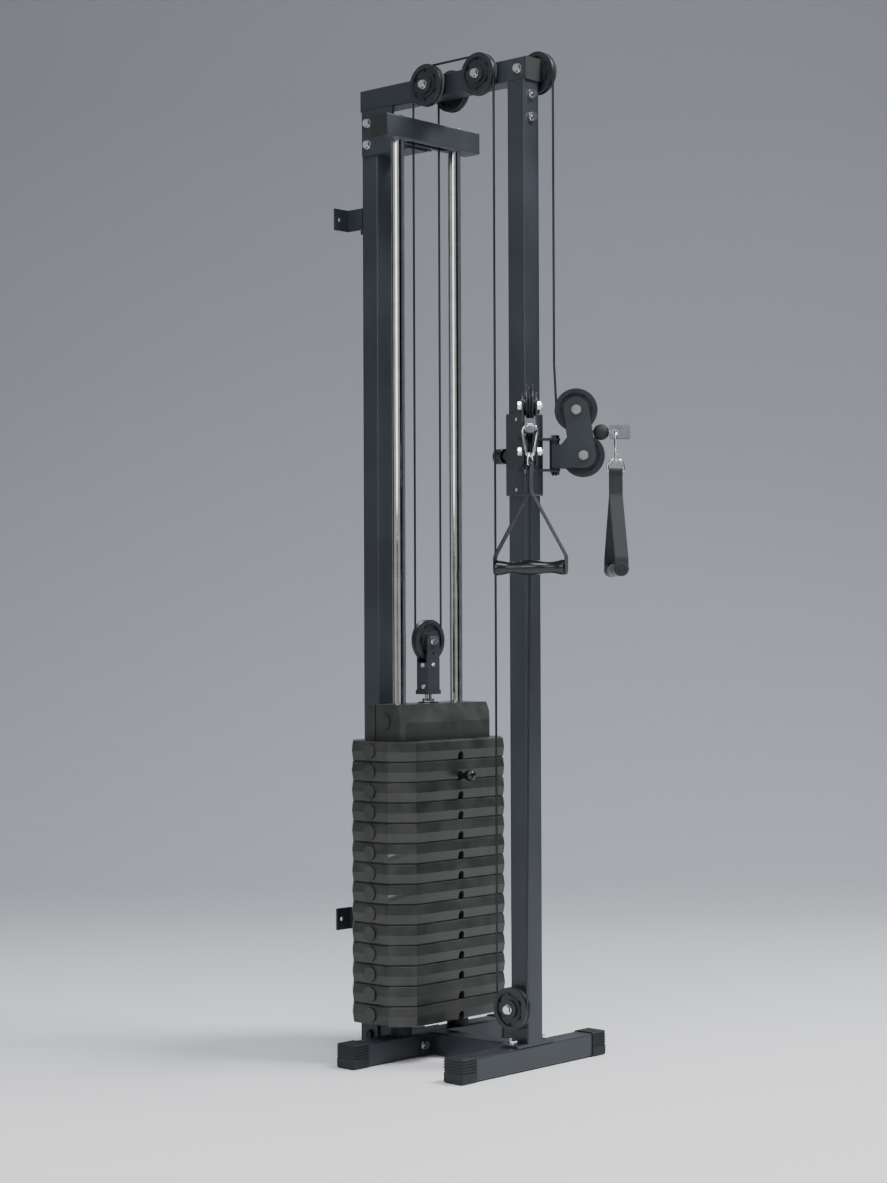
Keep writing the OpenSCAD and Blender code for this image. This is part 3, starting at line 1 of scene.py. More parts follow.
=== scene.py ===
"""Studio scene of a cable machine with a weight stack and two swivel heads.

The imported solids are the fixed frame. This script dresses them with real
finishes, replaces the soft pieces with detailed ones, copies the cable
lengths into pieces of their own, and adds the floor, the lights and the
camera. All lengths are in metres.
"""

import logging
import math
from dataclasses import dataclass, field
from enum import Enum
from typing import Any, Dict, List, Optional, Sequence, Tuple, Union

import bmesh
import bpy
import numpy as np
from mathutils import Matrix, Vector


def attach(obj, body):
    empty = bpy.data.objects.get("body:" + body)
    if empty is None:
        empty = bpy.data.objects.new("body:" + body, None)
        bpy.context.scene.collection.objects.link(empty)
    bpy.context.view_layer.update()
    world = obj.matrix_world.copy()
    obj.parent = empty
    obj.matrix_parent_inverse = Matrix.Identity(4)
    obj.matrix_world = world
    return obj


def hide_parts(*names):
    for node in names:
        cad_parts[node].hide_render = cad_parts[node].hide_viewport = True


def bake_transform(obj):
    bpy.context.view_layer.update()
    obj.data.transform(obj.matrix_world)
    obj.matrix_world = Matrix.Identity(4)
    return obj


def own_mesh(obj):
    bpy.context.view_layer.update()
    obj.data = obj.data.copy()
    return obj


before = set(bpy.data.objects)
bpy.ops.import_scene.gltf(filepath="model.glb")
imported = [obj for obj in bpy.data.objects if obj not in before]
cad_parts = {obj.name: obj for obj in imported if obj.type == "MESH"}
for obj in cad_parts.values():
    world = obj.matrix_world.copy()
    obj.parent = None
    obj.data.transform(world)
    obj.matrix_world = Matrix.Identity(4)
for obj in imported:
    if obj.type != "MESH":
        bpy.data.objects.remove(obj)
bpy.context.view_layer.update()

logging.basicConfig(level=logging.INFO, format="%(message)s")
LOG = logging.getLogger("cable machine")

MM = 0.001
# Points closer than this are one point.
MERGE = 1e-6
# An edge that turns more than this stays crisp.
SHARP = math.radians(40)
Point = Tuple[float, float, float]
Socket = Union[str, int]


# ---------------------------------------------------------------- colour


def linear(hex_colour: str) -> Tuple[float, float, float, float]:
    """Turns an sRGB hex value into linear red, green, blue and full alpha.

    Args:
        hex_colour: six hex digits, such as "3a3f44".

    Returns:
        The linear colour, with the sRGB curve taken off each channel.
    """
    values = [int(hex_colour[i:i + 2], 16) / 255 for i in (0, 2, 4)]
    out = [v / 12.92 if v <= 0.04045 else ((v + 0.055) / 1.055) ** 2.4 for v in values]
    return out[0], out[1], out[2], 1.0


# ---------------------------------------------------------------- materials


class Graph:
    """A node tree under construction."""

    def __init__(self, tree: bpy.types.NodeTree) -> None:
        """Takes the tree that the nodes go into."""
        self.tree = tree

    def add(self, kind: str, settings: Optional[Dict[Socket, Any]] = None,
            links: Optional[Dict[Socket, Tuple[Any, Socket]]] = None) -> Any:
        """Adds one node.

        Args:
            kind: Blender's node type name.
            settings: input sockets, or else properties, and their values.
            links: input socket to (source node, output socket). A socket is
                its name, or its number where several have one name.

        Returns:
            The new node.
        """
        made = self.tree.nodes.new(kind)
        for key, value in (settings or {}).items():
            if isinstance(key, str) and hasattr(made, key) and key not in made.inputs:
                setattr(made, key, value)
            else:
                made.inputs[key].default_value = value
        for key, (source, socket) in (links or {}).items():
            self.join(source, socket, made, key)
        return made

    def join(self, source: Any, out_socket: Socket, target: Any, in_socket: Socket) -> None:
        """Links an output socket to an input socket."""
        self.tree.links.new(source.outputs[out_socket], target.inputs[in_socket])


class Surface(Graph):
    """A node material under construction."""

    def __init__(self, name: str) -> None:
        """Starts an empty material with its output and its surface shader."""
        self.material = bpy.data.materials.new(name)
        self.material.use_nodes = True
        super().__init__(self.material.node_tree)
        self.tree.nodes.clear()
        self.output = self.add("ShaderNodeOutputMaterial")
        self.shader = self.add("ShaderNodeBsdfPrincipled")
        self.join(self.shader, "BSDF", self.output, "Surface")


class Grain(Enum):
    """How the fine relief of a finish lies on the surface."""

    EVEN = (1.0, 1.0, 1.0)
    UPRIGHT = (1.0, 1.0, 0.02)


# Noise values at which a finish has its one shade or gloss, and the other.
SHADE_ENDS = (0.35, 0.65)
GLOSS_ENDS = (0.3, 0.7)
PATCH_DETAIL = 4.0
GRAIN_DETAIL = 3.0


@dataclass(frozen=True)
class Finish:
    """A solid surface with uneven colour, uneven gloss and a fine relief."""

    name: str
    colour: str
    shade: str
    roughness: float
    roughness_swing: float
    metallic: float
    grain_mm: float
    relief: float
    patch_mm: float = 60.0
    ior: float = 1.5
    grain: Grain = Grain.EVEN

    def build(self) -> bpy.types.Material:
        """Builds the finish.

        Returns:
            A material whose colour drifts between two shades over patches of
            patch_mm, and whose relief is noise with grains of grain_mm.
        """
        g = Surface(self.name)
        g.shader.inputs["Metallic"].default_value = self.metallic
        g.shader.inputs["IOR"].default_value = self.ior
        place = g.add("ShaderNodeTexCoord")
        stretch = g.add("ShaderNodeMapping", {"Scale": self.grain.value},
                        {"Vector": (place, "Object")})
        patch = g.add("ShaderNodeTexNoise", {
            "Scale": 1 / (self.patch_mm * MM), "Detail": PATCH_DETAIL,
        }, {"Vector": (place, "Object")})
        fine = g.add("ShaderNodeTexNoise", {
            "Scale": 1 / (self.grain_mm * MM), "Detail": GRAIN_DETAIL,
        }, {"Vector": (stretch, "Vector")})
        ramp = g.add("ShaderNodeValToRGB", links={"Fac": (patch, "Fac")})
        shades = (self.shade, self.colour)
        for stop, at, shade in zip(ramp.color_ramp.elements, SHADE_ENDS, shades):
            stop.position = at
            stop.color = linear(shade)
        gloss = g.add("ShaderNodeMapRange", {
            "From Min": GLOSS_ENDS[0], "From Max": GLOSS_ENDS[1],
            "To Min": self.roughness - self.roughness_swing,
            "To Max": self.roughness + self.roughness_swing,
        }, {"Value": (patch, "Fac")})
        bump = g.add("ShaderNodeBump", {
            "Strength": 1.0, "Distance": self.relief * MM,
        }, {"Height": (fine, "Fac")})
        g.join(ramp, "Color", g.shader, "Base Color")
        g.join(gloss, "Result", g.shader, "Roughness")
        g.join(bump, "Normal", g.shader, "Normal")
        return g.material


# Powder coat: polyester powder baked on steel tube. Charcoal, satin, with a
# faint orange-peel relief of about a millimetre.
POWDER_COAT = Finish("powder_coated_steel", "2e343a", "262b30", 0.40, 0.05, 0.0, 1.2, 0.05,
                     patch_mm=180)
# Rubber-coated cast plates: dull black with a cast, slightly rough skin.
PLATE_COAT = Finish("rubber_coated_casting", "333432", "252726", 0.36, 0.07, 0.0, 2.4, 0.12,
                    patch_mm=45)
# Chromed steel: bright plate over turned bar, fine marks along the rod.
CHROME = Finish("chromed_steel", "d9dadb", "c9cbcd", 0.09, 0.03, 1.0, 0.9, 0.006,
                patch_mm=30, grain=Grain.UPRIGHT)
# Bright zinc on pressed steel: duller than chrome, a little bluish.
ZINC = Finish("zinc_plated_steel", "b6bac0", "acb0b7", 0.26, 0.03, 1.0, 1.6, 0.004, patch_mm=24)
# Moulded rubber: deep black and dull, with a fine moulded grain.
RUBBER = Finish("moulded_rubber", "1d1f21", "17191b", 0.68, 0.06, 0.0, 0.8, 0.05, patch_mm=30)
# Glass-filled nylon: turned pulleys, charcoal with a soft sheen.
NYLON = Finish("moulded_nylon", "26292d", "1f2226", 0.38, 0.06, 0.0, 1.0, 0.03, patch_mm=25)
# Nylon coat over wire rope: black and fairly glossy.
CABLE_COAT = Finish("nylon_coated_cable", "1b1d20", "141619", 0.33, 0.05, 0.0, 1.5, 0.04,
                    patch_mm=12)
# Acetal glide liners: off-white and waxy.
ACETAL = Finish("acetal_liner", "c9c6bd", "bdbab1", 0.4, 0.05, 0.0, 1.0, 0.02)
# Injection-moulded ABS knobs: black and glossy, so the ball shows the lamps.
KNOB = Finish("moulded_abs", "17191b", "101213", 0.16, 0.04, 0.0, 0.7, 0.01, patch_mm=15)
# Bearing seals: pressed nitrile rings, dark and matt inside the bright bolts.
SEAL = Finish("nitrile_bearing_seal", "232527", "191b1c", 0.50, 0.05, 0.0, 0.6, 0.02, patch_mm=8)
# Black-oxide steel: the base bolt, dark and slightly oily.
BLACK_OXIDE = Finish("black_oxide_steel", "2c2d2e", "1e1f20", 0.38, 0.08, 0.6, 0.8, 0.01,
                     patch_mm=8)
# Vinyl-skinned foam: closed-cell grip, near black, with a soft shine.
FOAM = Finish("vinyl_skinned_foam", "16181a", "101213", 0.20, 0.05, 0.0, 0.9, 0.02, patch_mm=14)
# Bonded polyester thread: sewing thread, slightly paler than the web.
THREAD = Finish("polyester_thread", "34373f", "2b2e36", 0.6, 0.05, 0.0, 0.3, 0.03, patch_mm=4)


@dataclass(frozen=True)
class Webbing:
    """Woven nylon webbing: ribs along the strap and fine weft across.

    The spacing of ribs and weft is that of a heavy strap, and it gives the
    eye a soft, dull band beside the shiny grip.
    """

    name: str = "woven_nylon_webbing"
    colour: str = "1f232b"
    # Painted shade: the colour in the weave's hollows, darker than the crests.
    shade: str = "0d0f14"
    rib_mm: float = 1.5
    weft_mm: float = 1.1
    relief_mm: float = 0.25
    roughness: float = 0.62
    sheen: float = 0.08
    sheen_roughness: float = 0.4
    crest: float = 0.6
    # The wave texture turns by this many radians per metre at scale 1.
    wave_rate: float = 20.0

    def build(self) -> bpy.types.Material:
        """Builds the weave from the strap's own map, in metres.

        Returns:
            A material whose relief is the product of two sine bands, one
            across and one along, so that each crossing is a small pillow.
            The same product paints shade into the hollows: the colour runs
            from shade there to colour on the crests.
        """
        g = Surface(self.name)
        g.shader.inputs["Roughness"].default_value = self.roughness
        g.shader.inputs["Sheen Weight"].default_value = self.sheen
        g.shader.inputs["Sheen Roughness"].default_value = self.sheen_roughness
        place = g.add("ShaderNodeTexCoord")
        bands = []
        for direction, period in (("X", self.weft_mm), ("Y", self.rib_mm)):
            bands.append(g.add("ShaderNodeTexWave", {
                "bands_direction": direction,
                "Scale": 2 * math.pi / (self.wave_rate * period * MM),
            }, {"Vector": (place, "UV")}))
        cross = g.add("ShaderNodeMath", {"operation": "MULTIPLY"},
                      {0: (bands[0], "Fac"), 1: (bands[1], "Fac")})
        # Painted shade: the hollows of the weave take the dark colour, the crests the lighter one.
        ramp = g.add("ShaderNodeValToRGB", links={"Fac": (cross, "Value")})
        ramp.color_ramp.elements[0].color = linear(self.shade)
        ramp.color_ramp.elements[1].color = linear(self.colour)
        ramp.color_ramp.elements[1].position = self.crest
        bump = g.add("ShaderNodeBump", {"Strength": 1.0, "Distance": self.relief_mm * MM},
                     {"Height": (cross, "Value")})
        g.join(ramp, "Color", g.shader, "Base Color")
        g.join(bump, "Normal", g.shader, "Normal")
        return g.material


# ---------------------------------------------------------------- dressing


@dataclass
class Dressing:
    """Puts a finish on every solid, and a second one on seals and the base bolt."""

    seal_tall: float = 0.026
    seal_play: float = 0.001
    base_high: float = 0.05
    base_back: float = 0.25
    nodes: Dict[str, Finish] = field(default_factory=dict)

    def fill(self) -> None:
        """Lists every node and its finish."""
        groups: List[Tuple[Finish, Sequence[str]]] = [
            (POWDER_COAT, ("front_foot", "rear_foot", "base_beams", "front_post", "rear_post",
                           "top_beam", "crossbeam", "crossbeam_bracket", "wall_brackets",
                           "block_frame", "carriage_sleeve", "right_head_frame",
                           "left_head_frame")),
            (RUBBER, ("tube_caps", "rod_bumpers", "right_cable_stop", "left_cable_stop")),
            (CHROME, ("guide_rods", "frame_bolts", "pulley_axles", "selector_stem", "block_axle",
                      "hinge_pins", "right_head_axles", "left_head_axles", "right_snap_hook",
                      "left_snap_hook", "right_hook_gate", "left_hook_gate", "right_ring",
                      "left_ring")),
            (ZINC, ("right_end_shackle", "left_end_shackle", "pop_pin_spring")),
            (PLATE_COAT, ("lower_weight_plates", "lifted_weight_plates", "top_plate")),
            (NYLON, ("rear_left_pulley", "rear_right_pulley", "front_left_pulley",
                     "front_right_pulley", "base_pulley", "block_pulley", "right_upper_wheel",
                     "right_lower_wheel", "left_upper_wheel", "left_lower_wheel")),
            (CABLE_COAT, ("frame_cables", "upper_cable_run", "lower_cable_run", "lift_cable",
                          "right_head_cable", "left_head_cable")),
            (ACETAL, ("carriage_glides",)),
            (KNOB, ("selector_pin", "pop_pin", "right_grip", "left_grip", "right_strap",
                    "left_strap")),
        ]
        for finish, names in groups:
            for name in names:
                self.nodes[name] = finish

    def apply(self) -> None:
        """Builds each finish once and puts it in the slots of its nodes."""
        self.fill()
        built: Dict[str, bpy.types.Material] = {}
        for name, finish in self.nodes.items():
            if finish.name not in built:
                built[finish.name] = finish.build()
            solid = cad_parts[name]
            solid.data.materials.clear()
            solid.data.materials.append(built[finish.name])
            LOG.info("dressed %s with %s", name, finish.name)
        seal, oxide = SEAL.build(), BLACK_OXIDE.build()
        for name in ("pulley_axles", "block_axle", "right_head_axles", "left_head_axles"):
            low, high = island_span(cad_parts[name].data)
            tall = high[:, 2] - low[:, 2]
            second_slot(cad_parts[name].data, seal,
                        abs(tall - self.seal_tall) < self.seal_play)
        low, high = island_span(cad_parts["frame_bolts"].data)
        second_slot(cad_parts["frame_bolts"].data, oxide,
                    (high[:, 2] < self.base_high) & (low[:, 1] > self.base_back))


def island_span(mesh: bpy.types.Mesh) -> Tuple[np.ndarray, np.ndarray]:
    """Finds the extent of the connected part that each face belongs to.

    Args:
        mesh: the mesh, which stays as it is.

    Returns:
        Lowest and highest corner of the part, one row for each face. Points
        take the smallest number among their neighbours until none changes.
    """
    points = np.zeros(len(mesh.vertices) * 3)
    mesh.vertices.foreach_get("co", points)
    points = points.reshape(-1, 3)
    edges = np.zeros(len(mesh.edges) * 2, dtype=np.int64)
    mesh.edges.foreach_get("vertices", edges)
    a, b = edges.reshape(-1, 2).T
    label = np.arange(len(points))
    while True:
        least = np.minimum(label[a], label[b])
        new = label.copy()
        np.minimum.at(new, a, least)
        np.minimum.at(new, b, least)
        new = new[new]
        if np.array_equal(new, label):
            break
        label = new
    low = np.full(points.shape, np.inf)
    high = np.full(points.shape, -np.inf)
    np.minimum.at(low, label, points)
    np.maximum.at(high, label, points)
    starts = np.zeros(len(mesh.polygons), dtype=np.int64)
    mesh.polygons.foreach_get("loop_start", starts)
    corners = np.zeros(len(mesh.loops), dtype=np.int64)
    mesh.loops.foreach_get("vertex_index", corners)
    part = label[corners[starts]]
    return low[part], high[part]


def second_slot(mesh: bpy.types.Mesh, material: bpy.types.Material, chosen: np.ndarray) -> None:
    """Gives the chosen faces of a mesh a material in its second slot.

    Args:
        mesh: the mesh.
        material: the second slot's material.
        chosen: one truth value for each face.
    """
    mesh.materials.append(material)
    slots = np.zeros(len(mesh.polygons), dtype=np.int32)
    mesh.polygons.foreach_get("material_index", slots)
    slots[chosen] = 1
    mesh.polygons.foreach_set("material_index", slots)


# ---------------------------------------------------------------- studio


@dataclass
class Studio:
    """Floor with a curved backdrop, soft lights and the camera."""

    camera_at: Point = (-3.88965, -3.46851, 0.97132)
    heading: float = 0.8301
    pitch: float = 0.0138
    roll: float = -0.0039
    lens_px: float = 2332.57
    image_w: float = 887.0
    sensor_mm: float = 36.0
    clip_end: float = 60.0
    floor_front: float = -9.0
    floor_back: float = 3.4
    bend_r: float = 2.2
    wall_top: float = 9.0
    half_wide: float = 12.0
    fill: float = 0.44
    overhead: str = "e0e4ec"
    cards_top: Tuple[float, float] = (0.22, 0.42)
    # Painted shade: the paper's colour near the camera, and the darker colour far off and up the
    # wall.
    paper: Tuple[str, str] = ("fbfbfd", "94969e")
    paper_run: Tuple[float, float] = (-1.0, 9.0)
    # Each lamp's name, place, aim, side in metres and watts.
    lamps: Tuple[Tuple[str, Point, Point, float, float], ...] = (
        ("key", (1.7, -2.7, 5.4), (0.0, 0.0, 0.4), 1.6, 330.0),
        ("side", (-4.4, -0.9, 2.6), (0.0, 0.0, 1.0), 2.4, 55.0),
        ("floor", (-1.7, -1.5, 4.4), (-1.3, -1.2, 0.0), 1.8, 85.0),
        ("rim", (3.4, 1.6, 4.2), (0.0, 0.0, 1.2), 2.4, 30.0))
    # The painted shade on the paper between its two ends, and the cards round
    #     the room at eye level, each by its share of the way.
    painted_falloff: Tuple[Tuple[float, str], ...] = ((0.13, "f4f5f8"), (0.36, "c4c7ce"), (0.60, "b4b7bf"))
    cards: Tuple[Tuple[float, str], ...] = (
        (0.00, "d8d3c4"), (0.035, "d8d3c4"), (0.045, "5a4c3c"), (0.065, "5a4c3c"),
        (0.075, "ffffff"), (0.175, "ffffff"), (0.185, "141416"), (0.27, "141416"),
        (0.285, "9da1a8"), (0.42, "9da1a8"), (0.76, "9da1a8"), (0.775, "141416"),
        (0.855, "141416"), (0.865, "ffffff"), (0.97, "ffffff"), (0.98, "d8d3c4"))

    def backdrop(self) -> None:
        """Builds the floor and backdrop as one sheet.

        The profile runs along the camera's heading: flat, then a quarter
        circle of radius bend_r, then straight up. It is carried sideways.
        """
        flat = np.linspace(self.floor_front, self.floor_back, 12)
        turn = np.linspace(0, math.pi / 2, 25)[1:]
        wall = np.linspace(self.bend_r, self.wall_top, 8)[1:]
        along = np.concatenate([flat, self.floor_back + self.bend_r * np.sin(turn),
                                np.full(wall.size, self.floor_back + self.bend_r)])
        height = np.concatenate([np.zeros(flat.size), self.bend_r * (1 - np.cos(turn)), wall])
        side = np.linspace(-self.half_wide, self.half_wide, 9)
        u, v = np.meshgrid(np.arange(along.size), np.arange(side.size), indexing="ij")
        fwd = np.array([math.sin(self.heading), math.cos(self.heading), 0.0])
        right = np.array([math.cos(self.heading), -math.sin(self.heading), 0.0])
        grid = (along[u][..., None] * fwd + side[v][..., None] * right
                + height[u][..., None] * np.array([0, 0, 1.0]))
        mesh = grid_mesh("floor_sheet", grid, False, False)
        mesh.materials.append(self._shaded_paper())
        sheet = bpy.data.objects.new("floor_sheet", mesh)
        bpy.context.scene.collection.objects.link(sheet)

    def _shaded_paper(self) -> bpy.types.Material:
        """Builds pale matt studio paper with painted shade, darker away from the camera and up the
        wall.

        Returns:
            A material whose colour goes by the distance along the camera's
            heading plus the height, which only grows along the sheet.
        """
        g = Surface("studio_paper")
        g.shader.inputs["Roughness"].default_value = 0.9
        place = g.add("ShaderNodeTexCoord")
        along = g.add("ShaderNodeVectorMath", {
            "operation": "DOT_PRODUCT",
            1: (math.sin(self.heading), math.cos(self.heading), 1.0),
        }, {0: (place, "Object")})
        level = g.add("ShaderNodeMapRange", {
            "From Min": self.paper_run[0], "From Max": self.paper_run[1],
        }, {"Value": (along, "Value")})
        # Painted shade: the paper darkens with distance from the camera and with height.
        ramp = g.add("ShaderNodeValToRGB", links={"Fac": (level, "Result")})
        stops = ramp.color_ramp.elements
        stops[0].color = linear(self.paper[0])
        stops[1].color = linear(self.paper[1])
        for at, colour in self.painted_falloff:
            stops.new(at).color = linear(colour)
        g.join(ramp, "Color", g.shader, "Base Color")
        return g.material

    def lights(self) -> None:
        """Hangs the soft lights and sets the room that the chrome reflects."""
        for name, at, to, size, watts in self.lamps:
            self._softbox(name, at, to, size, watts)
        self._room()

    def _room(self) -> None:
        """Sets the fill light, with upright cards at eye level.

        The direction's angle about the vertical picks a card from a ramp;
        over about 20 degrees above the horizon the room turns plain.
        """
        world = bpy.data.worlds.new("room")
        world.use_nodes = True
        g = Graph(world.node_tree)
        ground = g.tree.nodes["Background"]
        ground.inputs["Strength"].default_value = self.fill
        way = g.add("ShaderNodeTexCoord")
        turn = g.add("ShaderNodeTexGradient", {"gradient_type": "RADIAL"},
                     {"Vector": (way, "Generated")})
        cards = g.add("ShaderNodeValToRGB", links={"Fac": (turn, "Fac")})
        split = g.add("ShaderNodeSeparateXYZ", links={"Vector": (way, "Generated")})
        level = g.add("ShaderNodeMapRange", {
            "From Min": self.cards_top[0], "From Max": self.cards_top[1],
        }, {"Value": (split, "Z")})
        mixed = g.add("ShaderNodeMix", {"data_type": "RGBA", 7: linear(self.overhead)},
                      {"Factor": (level, "Result"), 6: (cards, "Color")})
        g.join(mixed, 2, ground, "Color")
        stops = cards.color_ramp.elements
        for number, (place, colour) in enumerate(self.cards):
            stop = stops[number] if number < 2 else stops.new(place)
            stop.position = place
            stop.color = linear(colour)
        bpy.context.scene.world = world

    def _softbox(self, name: str, at: Point, to: Point, size: float, watts: float) -> None:
        """Adds one square area light aimed at a point."""
        lamp = bpy.data.lights.new(name, "AREA")
        lamp.size = size
        lamp.energy = watts
        holder = bpy.data.objects.new(name, lamp)
        bpy.context.scene.collection.objects.link(holder)
        holder.location = at
        holder.rotation_euler = (Vector(to) - Vector(at)).to_track_quat("-Z", "Y").to_euler()

    def camera(self) -> None:
        """Sets the camera found from the photograph's vanishing lines."""
        lens = bpy.data.cameras.new("photo_view")
        lens.sensor_fit = "HORIZONTAL"
        lens.sensor_width = self.sensor_mm
        lens.lens = self.lens_px / self.image_w * self.sensor_mm
        lens.clip_end = self.clip_end
        eye = bpy.data.objects.new("photo_view", lens)
        bpy.context.scene.collection.objects.link(eye)
        cp = math.cos(self.pitch)
        look = Vector((math.sin(self.heading) * cp, math.cos(self.heading) * cp,
                       math.sin(self.pitch)))
        level = look.cross(Vector((0, 0, 1))).normalized()
        up = level.cross(look).normalized()
        right = level * math.cos(self.roll) + up * math.sin(self.roll)
        up = right.cross(look)
        turn = Matrix((right, up, -look)).transposed().to_4x4()
        eye.matrix_world = Matrix.Translation(self.camera_at) @ turn
        bpy.context.scene.camera = eye

    def build(self) -> None:
        """Sets up camera, floor and lights."""
        self.camera()
        self.backdrop()
        self.lights()


# ---------------------------------------------------------------- meshes


def grid_mesh(name: str, grid: np.ndarray, wrap_u: bool, wrap_v: bool) -> bpy.types.Mesh:
    """Turns a grid of points into a mesh of quads.

    Args:
        name: the mesh's name.
        grid: points as an array of shape (rows, columns, 3).
        wrap_u: whether the last row joins the first.
        wrap_v: whether the last column joins the first.

    Returns:
        The mesh, with quad (i, j) joining points (i, j), (i + 1, j),
        (i + 1, j + 1) and (i, j + 1).
    """
    rows, cols = grid.shape[:2]
    index = np.arange(rows * cols).reshape(rows, cols)
    if wrap_u:
        index = np.vstack([index, index[:1]])
    if wrap_v:
        index = np.hstack([index, index[:, :1]])
    quads = np.stack([index[:-1, :-1], index[1:, :-1], index[1:, 1:], index[:-1, 1:]],
                     axis=-1).reshape(-1, 4)
    mesh = bpy.data.meshes.new(name)
    mesh.from_pydata(grid.reshape(-1, 3).tolist(), [], quads.tolist())
    mesh.update()
    return mesh


def joined(name: str, meshes: Sequence[bpy.types.Mesh],
           materials: Sequence[bpy.types.Material], body: str) -> bpy.types.Object:
    """Joins meshes into one finished piece that rides on a body.

    Args:
        name: the piece's name.
        meshes: the meshes, already in the row frame.
        materials: one material for each mesh.
        body: the body that the piece rides on.

    Returns:
        The piece, with coincident points merged and faces turned outwards.
    """
    whole = bmesh.new()
    whole.loops.layers.uv.new("UVMap")
    for number, mesh in enumerate(meshes):
        start = len(whole.faces)
        whole.from_mesh(mesh)
        whole.faces.ensure_lookup_table()
        for face in whole.faces[start:]:
            face.material_index = number
            face.smooth = True
        bpy.data.meshes.remove(mesh)
    bmesh.ops.remove_doubles(whole, verts=whole.verts, dist=MERGE)
    bmesh.ops.recalc_face_normals(whole, faces=whole.faces)
    final = bpy.data.meshes.new(name)
    whole.to_mesh(final)
    whole.free()
    for material in materials:
        final.materials.append(material)
    piece = bpy.data.objects.new(name, final)
    bpy.context.scene.collection.objects.link(piece)
    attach(piece, body)
    return piece


def add_uv(mesh: bpy.types.Mesh, uv: np.ndarray) -> None:
    """Gives each point of a mesh its place on the cloth, in metres.

    Args:
        mesh: the mesh.
        uv: one row of (along, across) for each point.
    """
    layer = mesh.uv_layers.new(name="UVMap")
    corners = np.zeros(len(mesh.loops), dtype=np.int64)
    mesh.loops.foreach_get("vertex_index", corners)
    layer.data.foreach_set("uv", uv[corners].astype(np.float32).ravel())


# ---------------------------------------------------------------- handles


class Side(Enum):
    """The two sides: name, sign of x, degrees that the head points outwards."""

    RIGHT = ("right", 1, 41.0)
    LEFT = ("left", -1, 49.0)

    def outwards(self) -> np.ndarray:
        """Gives the level direction in which this side's head points at rest."""
        _, sign, angle = self.value
        a = math.radians(angle)
        return np.array([sign * math.sin(a), -math.cos(a), 0.0])

    def swivel(self) -> np.ndarray:
        """Gives the point on this side's swivel level with the carriage's middle."""
        return np.array([self.value[1] * 0.0425, -0.204, 1.340])


